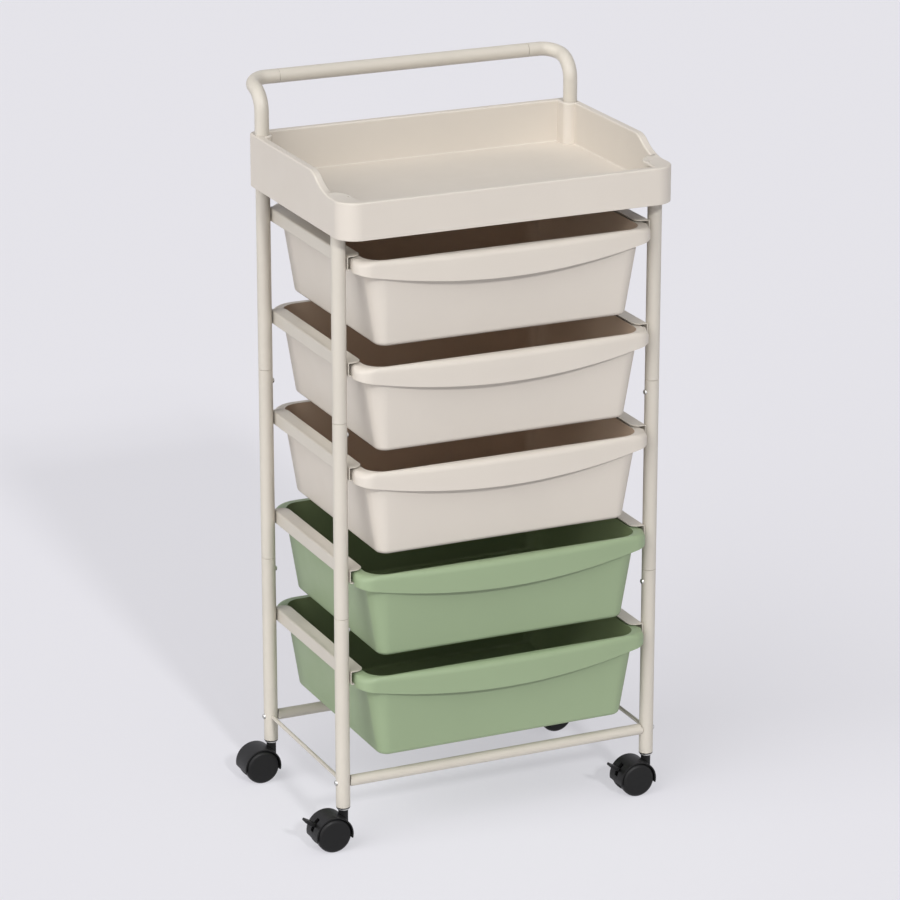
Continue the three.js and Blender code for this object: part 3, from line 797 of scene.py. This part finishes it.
def drawer_shell(name):
    """A tapered tub whose rim turns down at the sides and grows into a bowed lip at the front."""
    top = RUNNER_TOP_Z[1] - RIM_DROP
    floor = RUNNER_TOP_Z[1] - FLOOR_DROP
    skirt = RUNNER_TOP_Z[1] - SKIRT_DROP
    on_floor = at_height(floor)
    mouth_low = CENTRE + Vector((-MOUTH_HALF_X, MOUTH_FRONT_Y, floor))
    mouth_high = CENTRE + Vector((MOUTH_HALF_X, MOUTH_BACK_Y, top))
    shell = block(name, mouth_low, mouth_high)
    pick("FACE", at_height(top))
    bpy.ops.mesh.delete(type="FACE")
    pick_upright(lambda p: True)
    bevel(MOUTH_CORNER_R, segments=8)

    # Taper to a floor with tighter corners, rounded where the walls meet it
    pick("FACE", on_floor)
    refit_outline(FLOOR_HALF_X, FLOOR_FRONT_Y, FLOOR_BACK_Y)
    redraw_corners(
        lambda test: pick("VERT", lambda p: on_floor(p) and test(p)),
        FLOOR_HALF_X, {FLOOR_FRONT_Y: FLOOR_CORNER_R, FLOOR_BACK_Y: FLOOR_CORNER_R},
    )
    pick("EDGE", on_floor)
    bevel(FLOOR_ROUND, segments=5)

    # Columns across the front for the bow of the lip
    for k in range(1, LIP_COLUMNS):
        x = CENTRE.x + (2 * k / LIP_COLUMNS - 1) * (MOUTH_HALF_X - MOUTH_CORNER_R)
        slice_all((x, 0, 0), (1, 0, 0))

    # Rim plate, drawn out from the mouth, cut where the lip ends and bowed at the front
    pick_open_edges()
    extrude((0, 0, 0))
    refit_outline(RIM_HALF_X, RIM_FRONT_Y, RIM_BACK_Y)
    redraw_corners(pick_open_points, RIM_HALF_X, {RIM_FRONT_Y: RIM_FRONT_R, RIM_BACK_Y: RIM_BACK_R})
    for y in (LIP_BACK_Y, LIP_BACK_Y - LIP_END_SLOPE):
        slice_all((0, CENTRE.y + y, 0), (0, 1, 0))
    lip_from = CENTRE.y + LIP_BACK_Y - LIP_END_SLOPE + TINY
    pick_open_points(lambda p: p.y < lip_from)
    pull_middle((0, -LIP_BOW, 0), RIM_HALF_X - RIM_FRONT_R)

    # Skirt all round, drawn down into a crescent apron at the front
    pick_open_edges()
    extrude((0, 0, skirt - top))
    extrude((0, 0, 0))
    pick_open_points(lambda p: p.y < lip_from)
    bpy.ops.transform.translate(value=(0, 0, SKIRT_DROP - LIP_END_DROP))
    pull_middle((0, 0, LIP_END_DROP - LIP_DROP), RIM_HALF_X)

    # Rounded shoulder along the outside of the rim
    pick_shoulder(top, skirt)
    bpy.ops.mesh.bevel(
        offset_type="PERCENT", offset_pct=SHOULDER_PERCENT, segments=6, profile=0.5, affect="EDGES",
    )

    # Wall thickness, outwards from the inside faces
    bpy.ops.mesh.select_all(action="SELECT")
    bpy.ops.mesh.remove_doubles(threshold=TINY)
    bpy.ops.mesh.normals_make_consistent(inside=False)
    face_up(on_floor)
    add_modifier(shell, "SOLIDIFY", thickness=DRAWER_WALL, offset=-1, use_even_offset=True)
    soften(shell, RIM_EDGE_ROUND, segments=3, angle=RIM_EDGE_ANGLE)
    # Marks the inside faces that the finish darkens as painted shade
    mark_inside_shade_faces(shell, (top + floor) / 2)
    smooth(shell)
    return shell


def refit_outline(half_x, front_y, back_y):
    """Stretches the selected level outline to a new width, front and back."""
    points = selected_points()
    xs = [p.x for p in points]
    ys = [p.y for p in points]
    heart = Vector(((min(xs) + max(xs)) / 2, (min(ys) + max(ys)) / 2, points[0].z))
    stretch = (2 * half_x / (max(xs) - min(xs)), (back_y - front_y) / (max(ys) - min(ys)), 1)
    shift = CENTRE.y + (front_y + back_y) / 2 - heart.y
    bpy.ops.transform.resize(value=stretch, center_override=heart)
    bpy.ops.transform.translate(value=(0, shift, 0))


def redraw_corners(pick_where, half_x, radii):
    """Gives a stretched outline's corners new radii, about the points where its sides would meet."""
    for sign in SIDES.values():
        for y, radius in radii.items():
            sharp = CENTRE + Vector((sign * half_x, y, 0))
            pick_where(lambda p: abs(p.x - sharp.x) < CORNER_REACH and abs(p.y - sharp.y) < CORNER_REACH)
            scale = radius / max(abs(p.x - sharp.x) for p in selected_points())
            bpy.ops.transform.resize(value=(scale, scale, 1), center_override=sharp)


def pull_middle(shift, reach):
    """Moves the middle of the selected front edge, and the rest of it less and less towards its ends."""
    bpy.ops.mesh.hide(unselected=True)
    pick("VERT", lambda p: same(p.x, CENTRE.x))
    bpy.ops.transform.translate(
        value=shift, use_proportional_edit=True,
        proportional_edit_falloff="INVERSE_SQUARE", proportional_size=reach,
    )
    bpy.ops.mesh.reveal(select=False)


def pick_shoulder(top, skirt):
    """Selects the rim's outer edge, where the flat plate meets the skirt."""
    def wanted(edge):
        level = all(same(v.co.z, top) for v in edge.verts)
        return level and any(same(v.co.z, skirt) for f in edge.link_faces for v in f.verts)

    choose("EDGE", wanted)


def mark_inside_shade_faces(shell, middle_z):
    """Marks the faces that look into the tub, which the finish darkens as painted shade."""
    open_piece(shell)
    heart = CENTRE + Vector((0, 0, middle_z))
    mesh = open_mesh()
    mesh.normal_update()
    shade_mark = mesh.faces.layers.float.new(INSIDE_SHADE_MARK)
    for face in mesh.faces:
        inward = heart - face.calc_center_median()
        within = abs(inward.x) < MOUTH_HALF_X and -MOUTH_BACK_Y < inward.y < -MOUTH_FRONT_Y
        face[shade_mark] = 1 if within and face.normal.dot(inward) > 0 else 0
    bmesh.update_edit_mesh(bpy.context.edit_object.data)


def drawers():
    """Five tubs of one shape, the lower two in sage."""
    first = drawer_shell("drawer_1_moulding")
    shells = {1: first}
    for i in DRAWERS[1:]:
        drop = Vector((0, 0, RUNNER_TOP_Z[i] - RUNNER_TOP_Z[1]))
        shells[i] = copy_of(first, f"drawer_{i}_moulding", drop)
    for i, shell in shells.items():
        dress(shell, SAGE if i >= GREEN_FROM else BEIGE, f"drawer_{i}", f"drawer_{i}")


# Tray

def tray():
    """A shallow box whose side walls step down to a low front, with sockets in the corners."""
    crown = TRAY_HIGH.z + STEP_ROOM / 2
    body = block("tray_moulding", TRAY_LOW, Vector((TRAY_HIGH.x, TRAY_HIGH.y, crown)))
    pick_upright(lambda p: p.y < CENTRE.y)
    bevel(TRAY_FRONT_R, segments=12)
    pick_upright(lambda p: p.y > TRAY_HIGH.y - TINY)
    bevel(TRAY_BACK_R, segments=8)

    # Inside, then underside
    pick("FACE", at_height(crown))
    bpy.ops.mesh.inset(thickness=TRAY_WALL)
    extrude((0, 0, TRAY_FLOOR_Z - crown))
    pick("EDGE", at_height(TRAY_FLOOR_Z))
    bevel(TRAY_FILLET, segments=5)
    pick("FACE", at_height(TRAY_LOW.z))
    bpy.ops.mesh.inset(thickness=TRAY_SKIRT)
    extrude((0, 0, TRAY_FLOOR_Z - TRAY_FLOOR_THICK - TRAY_LOW.z))
    pick("EDGE", at_height(TRAY_LOW.z))
    bevel(FOOT_EDGE_ROUND, segments=2)
    faces_out()

    # Filled corners, the stepped top and its rounded edges, then the holes
    for side in SIDES:
        for fill in (front_plate(side), front_boss(side), rear_block(side)):
            cut(body, fill, "UNION")
    cut(body, step_cutter())
    round_edges(body, lambda p: p.z > TRAY_LOW_TOP_Z - TINY, TOP_EDGE_ROUND, segments=4)
    for corner in CORNERS:
        drill(body, SOCKET_R, POST[corner], TRAY_LOW.z - SOCKET_DEPTH, TRAY_LOW.z + SOCKET_DEPTH)
        if corner.startswith("back"):
            drill(body, SOCKET_R, POST[corner], TRAY_HIGH.z - SOCKET_DEPTH, TRAY_HIGH.z + SOCKET_DEPTH)
    for sign in SIDES.values():
        hole = CENTRE + Vector((sign * PIN_HOLE_X, PIN_HOLE_Y, 0))
        drill(body, PIN_HOLE_R, hole, TRAY_LOW_TOP_Z - 2 * PLATE_THICK, TRAY_HIGH.z)
    smooth(body)
    dress(body, BEIGE, "frame", "top_tray")


def corner_fill(side, inner_x, near_y, far_y, foot, rounds):
    """A block from inside a side wall to a given X, with some upright edges rounded."""
    sign = SIDES[side]
    wall = sign * WALL_MIDDLE_X
    inner = sign * inner_x
    near = Vector((min(wall, inner), near_y, foot))
    far = Vector((max(wall, inner), far_y, TRAY_HIGH.z + STEP_ROOM))
    fill = block("corner_fill", CENTRE + near, CENTRE + far)
    for x, y, radius in rounds:
        edge = CENTRE + Vector((sign * x, y, 0))
        pick_upright(lambda p: (p - edge).xy.length < TINY)
        bevel(radius, segments=8)
    faces_out()
    return fill


def front_plate(side):
    """The plate over a front socket, level with the walls about it."""
    near_y = TRAY_LOW.y - CENTRE.y + TRAY_WALL / 2
    rounds = [(PLATE_X, PLATE_Y, PLATE_ROUND), (WALL_MIDDLE_X, near_y, TRAY_FRONT_R - TRAY_WALL / 2)]
    return corner_fill(side, PLATE_X, near_y, PLATE_Y, TRAY_LOW_TOP_Z - PLATE_THICK, rounds)


def front_boss(side):
    """The round boss under a front plate, about the post's socket."""
    top = TRAY_LOW_TOP_Z - PLATE_THICK / 2
    place = POST[f"front_{side}"]
    return rod("front_boss", FRONT_BOSS_R, TRAY_LOW.z + BOSS_LIFT, top, place, facets=SOCKET_FACETS)


def rear_block(side):
    """The block round a rear post's socket and the handle's socket."""
    near_y = POST_Y - BOSS_R
    far_y = TRAY_HIGH.y - CENTRE.y - TRAY_WALL / 2
    inner_x = POST_X - BOSS_R
    return corner_fill(side, inner_x, near_y, far_y, TRAY_LOW.z + BOSS_LIFT, [(inner_x, near_y, BLOCK_ROUND)])


def step_cutter():
    """The space over the tray: level over the high walls, then down a blended slope to the low front."""
    near = Vector((TRAY_LOW.x - STEP_ROOM, TRAY_LOW.y - STEP_ROOM, TRAY_HIGH.z))
    far = Vector((TRAY_HIGH.x + STEP_ROOM, TRAY_HIGH.y + STEP_ROOM, TRAY_HIGH.z + 2 * STEP_ROOM))
    tool = block("step_cutter", near, far)
    crest_y = CENTRE.y + STEP_TOP_Y
    slice_all((0, crest_y, 0), (0, 1, 0))
    pick("FACE", lambda p: same(p.z, TRAY_HIGH.z) and p.y < crest_y + TINY)
    extrude((0, 0, TRAY_LOW_TOP_Z - TRAY_HIGH.z))
    pick("EDGE", lambda p: same(p.z, TRAY_LOW_TOP_Z) and p.y > crest_y - TINY)
    bpy.ops.transform.translate(value=(0, STEP_FOOT_Y - STEP_TOP_Y, 0))
    bevel(STEP_FOOT_BLEND, segments=10)
    pick("EDGE", lambda p: same(p.z, TRAY_HIGH.z) and same(p.y, crest_y))
    bevel(STEP_TOP_BLEND, segments=6)
    faces_out()
    return tool


def round_edges(piece, test, width, segments):
    """Rounds the sharp edges of a piece whose two ends pass the test."""
    open_piece(piece)
    faces_out()
    bpy.ops.mesh.select_mode(type="EDGE")
    bpy.ops.mesh.select_all(action="DESELECT")
    bpy.ops.mesh.edges_select_sharp(sharpness=math.radians(SHARP_ANGLE))
    mesh = open_mesh()
    for edge in mesh.edges:
        if edge.select and not all(test(v.co) for v in edge.verts):
            edge.select_set(False)
    keep_selection(mesh)
    bevel(width, segments)


def drill(body, radius, place, foot, top):
    """Drills an upright hole."""
    cut(body, rod("drill", radius, foot, top, place, facets=SOCKET_FACETS))


# Handle

def bend(corner_point, towards, onwards, cut_length):
    """Turns the open tube end round a corner, from one direction to another."""
    angle = towards.angle(onwards)
    radius = cut_length / math.tan(angle / 2)
    axis = towards.cross(onwards).normalized()
    start = corner_point - towards * cut_length
    heart = start + axis.cross(towards).normalized() * radius
    bpy.ops.mesh.spin(steps=BEND_STEPS, angle=-angle, center=heart, axis=axis)


def handle_elbow(side):
    """A tube up from the tray's socket, back over the tray's edge and round to the grip's seam."""
    sign = SIDES[side]
    post = POST[f"back_{side}"]
    foot = TRAY_HIGH.z - SOCKET_DEPTH + SEAM_GAP
    knee = Vector((post.x, post.y, LEG_BEND_Z))
    elbow = Vector((post.x, GRIP.y, GRIP.z))
    seam_x = high("handle_elbow_left").x if side == "left" else low("handle_elbow_right").x
    up = Vector((0, 0, 1))
    back = (elbow - knee).normalized()
    along = Vector((-sign, 0, 0))
    tube = begin(
        bpy.ops.mesh.primitive_circle_add, f"handle_elbow_{side}_tube", vertices=TUBE_FACETS, radius=TUBE_R,
        fill_type="NGON", location=(post.x, post.y, foot),
    )
    extrude(up * (LEG_BEND_Z - LEG_BEND_CUT - foot))
    bend(knee, up, back, LEG_BEND_CUT)
    extrude(back * ((elbow - knee).length - LEG_BEND_CUT - GRIP_BEND_CUT))
    bend(elbow, back, along, GRIP_BEND_CUT)
    extrude(along * (abs(seam_x - elbow.x) - GRIP_BEND_CUT))
    bpy.ops.mesh.inset(thickness=TUBE_WALL)
    extrude(-along * SPIGOT_LENGTH)
    faces_out()
    soften(tube, SEAM_ROUND, angle=TUBE_END_ANGLE)
    smooth(tube)
    dress(tube, COAT, "frame", f"handle_elbow_{side}")


def handle_grip():
    """The straight grip, with a spigot at each end inside the elbows."""
    seam = low("handle_elbow_right").x - CENTRE.x - SEAM_GAP
    neck_r = TUBE_R - TUBE_WALL - SEAM_GAP
    far = (high("handle_grip").x - low("handle_grip").x) / 2
    profile = [
        (neck_r, -far), (neck_r, -seam), (TUBE_R - SEAM_ROUND, -seam), (TUBE_R, SEAM_ROUND - seam),
        (TUBE_R, seam - SEAM_ROUND), (TUBE_R - SEAM_ROUND, seam), (neck_r, seam), (neck_r, far),
    ]
    grip = turned("handle_grip_tube", profile, GRIP, along="X")
    smooth(grip)
    dress(grip, COAT, "frame", "handle_grip")


# Casters, all modelled at the front left post and copied to the others

def hood(name, with_brake):
    """A curved cover over both wheels, the web between them and the neck that turns on the stem."""
    inner = HOOD_R - HOOD_WALL
    cover = flat_sheet(name, Vector(((inner + HOOD_R) / 2, 0, 0)), HOOD_WALL, 2 * HOOD_HALF_Y)
    for y in (-WEB_HALF_Y, WEB_HALF_Y):
        slice_all((0, y, 0), (0, 1, 0))
    pick("EDGE", lambda p: same(p.x, inner) and abs(p.y) < WEB_HALF_Y + TINY)
    extrude((HOOD_BOSS_R - WEB_OVERLAP - inner, 0, 0))
    bpy.ops.mesh.select_mode(type="FACE")
    bpy.ops.mesh.select_all(action="SELECT")
    bpy.ops.mesh.spin(steps=HOOD_STEPS, angle=HOOD_SWEEP, center=(0, 0, 0), axis=(0, 1, 0))
    faces_out()
    settle(cover, AXLE, (0, -HOOD_START, 0))
    boss_half = WEB_HALF_Y - TINY
    boss = rod("axle_boss", HOOD_BOSS_R, -boss_half, boss_half, AXLE, along="Y", facets=CASTER_FACETS)
    cut(cover, boss, "UNION")
    cut(cover, rod("neck", NECK_R, NECK_FOOT_Z, NECK_TOP_Z, HOME, facets=CASTER_FACETS), "UNION")
    hole = rod("axle_hole", AXLE_BORE_R, -HOOD_HALF_Y, HOOD_HALF_Y, AXLE, along="Y", facets=CASTER_FACETS)
    cut(cover, hole)
    if with_brake:
        cut(cover, lever_slot())
    soften(cover, HOOD_EDGE_ROUND, angle=HOOD_EDGE_ANGLE)
    smooth(cover)
    return cover


def lever_slot():
    """The space of the slot in the hood where the brake lever comes out."""
    near = Vector((SLOT_NEAR_R, -SLOT_HALF_Y, -SLOT_HALF_LENGTH))
    far = Vector((SLOT_FAR_R, SLOT_HALF_Y, SLOT_HALF_LENGTH))
    tool = block("lever_slot", near, far)
    turn_to_lever(tool)
    return tool


def turn_to_lever(piece):
    """Turns a piece drawn along +X from the axle to the lever's place."""
    settle(piece, AXLE, (0, -LEVER_ANGLE, 0))


def wheel(name, facing):
    """A moulded wheel with a rounded tread edge and a nearly flat face, towards +Y or -Y."""
    rings = [(AXLE_BORE_R, facing * WHEEL_BORE_END), (AXLE_BORE_R, facing * WHEEL_INNER_Y)]
    rings += [(radius * MM, facing * y * MM) for radius, y in WHEEL_SECTION_MM]
    made = turned(name, rings, AXLE, along="Y", facets=WHEEL_FACETS)
    smooth(made, angle=WHEEL_SMOOTH_ANGLE)
    return made


def stem_plug(name):
    """The black plug pressed into the post's foot, with a flange under the tube's end."""
    plug_r = TUBE_R - TUBE_WALL - SEAM_GAP
    plug = turned(name, [
        (plug_r, PLUG_TOP_Z), (plug_r, PLUG_FLANGE_TOP_Z), (PLUG_FLANGE_R, PLUG_FLANGE_TOP_Z),
        (PLUG_FLANGE_R, PLUG_FLANGE_EDGE_Z), (PLUG_FLANGE_R - PLUG_CHAMFER, PLUG_FOOT_Z),
    ], HOME)
    soften(plug, PLUG_EDGE_ROUND)
    smooth(plug)
    return plug


def stem_pin(name):
    """The plated stem with its collar, turned in one piece."""
    pin = turned(name, [
        (STEM_R, STEM_FOOT_Z), (STEM_R, COLLAR_FOOT_Z), (COLLAR_FOOT_R, COLLAR_FOOT_Z),
        (COLLAR_R, COLLAR_EDGE_Z), (COLLAR_R, COLLAR_TOP_Z),
    ], HOME)
    smooth(pin)
    return pin


def axle_pin(name):
    """The plated axle, chamfered at both ends."""
    straight = AXLE_HALF_Y - AXLE_CHAMFER
    pin = turned(name, [
        (AXLE_R - AXLE_CHAMFER, -AXLE_HALF_Y), (AXLE_R, -straight), (AXLE_R, straight),
        (AXLE_R - AXLE_CHAMFER, AXLE_HALF_Y),
    ], AXLE, along="Y", facets=CASTER_FACETS)
    smooth(pin)
    return pin


def brake_lever(name):
    """A pressed tab that tapers to a turned-up tip, on an arm to its pivot in the hood."""
    near = Vector((LEVER_PIVOT_R, -LEVER_ARM_HALF_Y, -LEVER_ARM_HALF_Z))
    far = Vector((LEVER_ARM_END, LEVER_ARM_HALF_Y, LEVER_ARM_HALF_Z))
    lever = block(name, near, far)
    pick("FACE", lambda p: same(p.x, LEVER_ARM_END))
    extrude((LEVER_FLARE_LENGTH, 0, 0))
    bpy.ops.transform.resize(value=LEVER_FLARE, center_override=(LEVER_ARM_END + LEVER_FLARE_LENGTH, 0, 0))
    for length, width, thickness, offset in LEVER_TAB:
        extrude((length * MM, 0, offset * MM))
        tip = selected_points()
        heart = sum(tip, Vector()) / len(tip)
        bpy.ops.transform.resize(value=(1, width, thickness), center_override=heart)
    faces_out()
    soften(lever, LEVER_EDGE_ROUND, angle=LEVER_EDGE_ANGLE)
    turn_to_lever(lever)
    for label, radius, half, facets in (
        ("lever_hub", LEVER_HUB_R, LEVER_ARM_HALF_Y, LEVER_HUB_FACETS),
        ("lever_pin", LEVER_PIN_R, LEVER_PIN_HALF_Y, LEVER_PIN_FACETS),
    ):
        cut(lever, rod(label, radius, -half, half, LEVER_PIVOT, along="Y", facets=facets), "UNION")
    smooth(lever)
    return lever


def casters():
    """Models each shape once, copies it to the other corners and then dresses all of them."""
    shapes = {
        "plug": stem_plug("caster_front_left_plug"),
        "stem_pin": stem_pin("caster_front_left_stem_pin"),
        "axle_pin": axle_pin("caster_front_left_axle_pin"),
        "wheel_front_moulding": wheel("caster_front_left_wheel_front_moulding", -1),
        "wheel_rear_moulding": wheel("caster_front_left_wheel_rear_moulding", 1),
        "hood_cover": hood("caster_front_left_hood_cover", True),
        "brake_lever_tab": brake_lever("caster_front_left_brake_lever_tab"),
    }
    plain_hood = hood("plain_hood_cover", False)
    sets = {"front_left": shapes}
    for corner in CORNERS[1:]:
        sources = dict(shapes)
        if corner.startswith("back"):
            sources["hood_cover"] = plain_hood
            del sources["brake_lever_tab"]
        sets[corner] = {}
        for part, shape in sources.items():
            sets[corner][part] = copy_of(shape, f"caster_{corner}_{part}", POST[corner] - HOME)
    bpy.data.objects.remove(plain_hood)
    for corner, pieces in sets.items():
        caster = f"caster_{corner}"
        dress(pieces["plug"], BLACK, "frame")
        dress(pieces["stem_pin"], ZINC, "frame", f"{caster}_stem")
        dress(pieces["axle_pin"], ZINC, caster, f"{caster}_axle")
        dress(pieces["hood_cover"], BLACK, caster, f"{caster}_hood")
        for place in ("front", "rear"):
            node = f"{caster}_wheel_{place}"
            dress(pieces[f"wheel_{place}_moulding"], BLACK, node, node)
        if "brake_lever_tab" in pieces:
            dress(pieces["brake_lever_tab"], BLACK, f"{caster}_brake_lever", f"{caster}_brake_lever")


# Floor, light and camera

FLOOR_TONE = (0.793, 0.785, 0.833)
FLOOR_ALBEDO = (0.87, 0.86, 0.905)
FLOOR_ROUGHNESS = 0.9
FLOOR_GLOW = 0.6
FLOOR_HALF = 40
SKY_LEVEL = 0.11

# Lamps: turned from the front towards the left and raised by degrees, with a spread in degrees
LAMPS = {
    "front_lamp": {"turn": 3, "rise": 32, "level": 1.42, "softness": 5},
    "top_lamp": {"turn": 20, "rise": 72, "level": 0.64, "softness": 60},
    "left_lamp": {"turn": 71, "rise": 31, "level": 2.04, "softness": 60},
}
CAMERA_TURN = math.radians(24.48)
CAMERA_RISE = math.radians(18.59)
CAMERA_DISTANCE = 4.5
CAMERA_LENS_MM = 160.59
CAMERA_SENSOR_MM = 36
CAMERA_SEES_TO = 200
CAMERA_AIM_Z = 400 * MM
CAMERA_AIM_RIGHT = -8.85 * MM
CAMERA_AIM_UP = 5.04 * MM


def shown_directly(tree):
    """1 where a ray comes straight from the camera, a reflection or a clear piece, and 0 elsewhere."""
    path = tree.nodes.new("ShaderNodeLightPath")
    shown = path.outputs["Is Camera Ray"]
    for other in ("Is Glossy Ray", "Is Transmission Ray"):
        either = tree.nodes.new("ShaderNodeMath")
        either.operation = "MAXIMUM"
        tree.links.new(shown, either.inputs[0])
        tree.links.new(path.outputs[other], either.inputs[1])
        shown = either.outputs[0]
    return shown


def studio_floor():
    """A pale floor that is lit and shadowed, and shown mostly at its own even tone."""
    alone()
    bpy.ops.mesh.primitive_plane_add(size=2 * FLOOR_HALF, location=(0, 0, 0))
    floor = bpy.context.object
    floor.name = "studio_floor"
    finish, tree, shader, node = finish_nodes("studio_floor_paper")
    shader.inputs["Base Color"].default_value = (*FLOOR_ALBEDO, 1)
    shader.inputs["Roughness"].default_value = FLOOR_ROUGHNESS
    shader.inputs["Specular IOR Level"].default_value = 0
    glow = node("ShaderNodeEmission")
    glow.inputs["Color"].default_value = (*FLOOR_TONE, 1)
    share = node("ShaderNodeMath", operation="MULTIPLY")
    share.inputs[1].default_value = FLOOR_GLOW
    tree.links.new(shown_directly(tree), share.inputs[0])
    blend = node("ShaderNodeMixShader")
    tree.links.new(share.outputs[0], blend.inputs["Fac"])
    tree.links.new(shader.outputs[0], blend.inputs[1])
    tree.links.new(glow.outputs[0], blend.inputs[2])
    tree.links.new(blend.outputs[0], tree.nodes["Material Output"].inputs["Surface"])
    floor.data.materials.append(finish)


def studio_light():
    """Weak even light from all round, a small lamp in front for the long pale shadow, and two soft ones."""
    world = bpy.data.worlds.new("studio_sky")
    bpy.context.scene.world = world
    world.use_nodes = True
    tree = world.node_tree
    sky = tree.nodes["Background"]
    sky.inputs["Color"].default_value = (1, 1, 1, 1)
    sky.inputs["Strength"].default_value = SKY_LEVEL
    backdrop = tree.nodes.new("ShaderNodeBackground")
    backdrop.inputs["Color"].default_value = (*FLOOR_TONE, 1)
    choice = tree.nodes.new("ShaderNodeMixShader")
    tree.links.new(shown_directly(tree), choice.inputs["Fac"])
    tree.links.new(sky.outputs[0], choice.inputs[1])
    tree.links.new(backdrop.outputs[0], choice.inputs[2])
    tree.links.new(choice.outputs[0], tree.nodes["World Output"].inputs["Surface"])
    for name, lamp in LAMPS.items():
        sun = bpy.data.lights.new(name, "SUN")
        sun.energy = lamp["level"]
        sun.angle = math.radians(lamp["softness"])
        turn = math.radians(lamp["turn"])
        rise = math.radians(lamp["rise"])
        travel = Vector((math.sin(turn) * math.cos(rise), math.cos(turn) * math.cos(rise), -math.sin(rise)))
        holder = bpy.data.objects.new(name, sun)
        holder.rotation_euler = travel.to_track_quat("-Z", "Y").to_euler()
        bpy.context.scene.collection.objects.link(holder)


def camera():
    """The photograph's point of view, from the front and the left."""
    out = Vector((
        -math.sin(CAMERA_TURN) * math.cos(CAMERA_RISE), -math.cos(CAMERA_TURN) * math.cos(CAMERA_RISE),
        math.sin(CAMERA_RISE),
    ))
    right = Vector((math.cos(CAMERA_TURN), -math.sin(CAMERA_TURN), 0))
    up = out.cross(right)
    aim = CENTRE + Vector((0, 0, CAMERA_AIM_Z)) + CAMERA_AIM_RIGHT * right + CAMERA_AIM_UP * up
    lens = bpy.data.cameras.new("photo_camera")
    lens.lens = CAMERA_LENS_MM
    lens.sensor_width = CAMERA_SENSOR_MM
    lens.clip_end = CAMERA_SEES_TO
    view = bpy.data.objects.new("photo_camera", lens)
    bpy.context.scene.collection.objects.link(view)
    view.location = aim + out * CAMERA_DISTANCE
    view.rotation_euler = (-out).to_track_quat("-Z", "Y").to_euler()
    bpy.context.scene.camera = view


posts()
base_tubes()
screws()
runners()
drawers()
tray()
for side in SIDES:
    handle_elbow(side)
handle_grip()
casters()
alone()
studio_floor()
studio_light()
camera()
bpy.context.scene.view_settings.view_transform = "Standard"
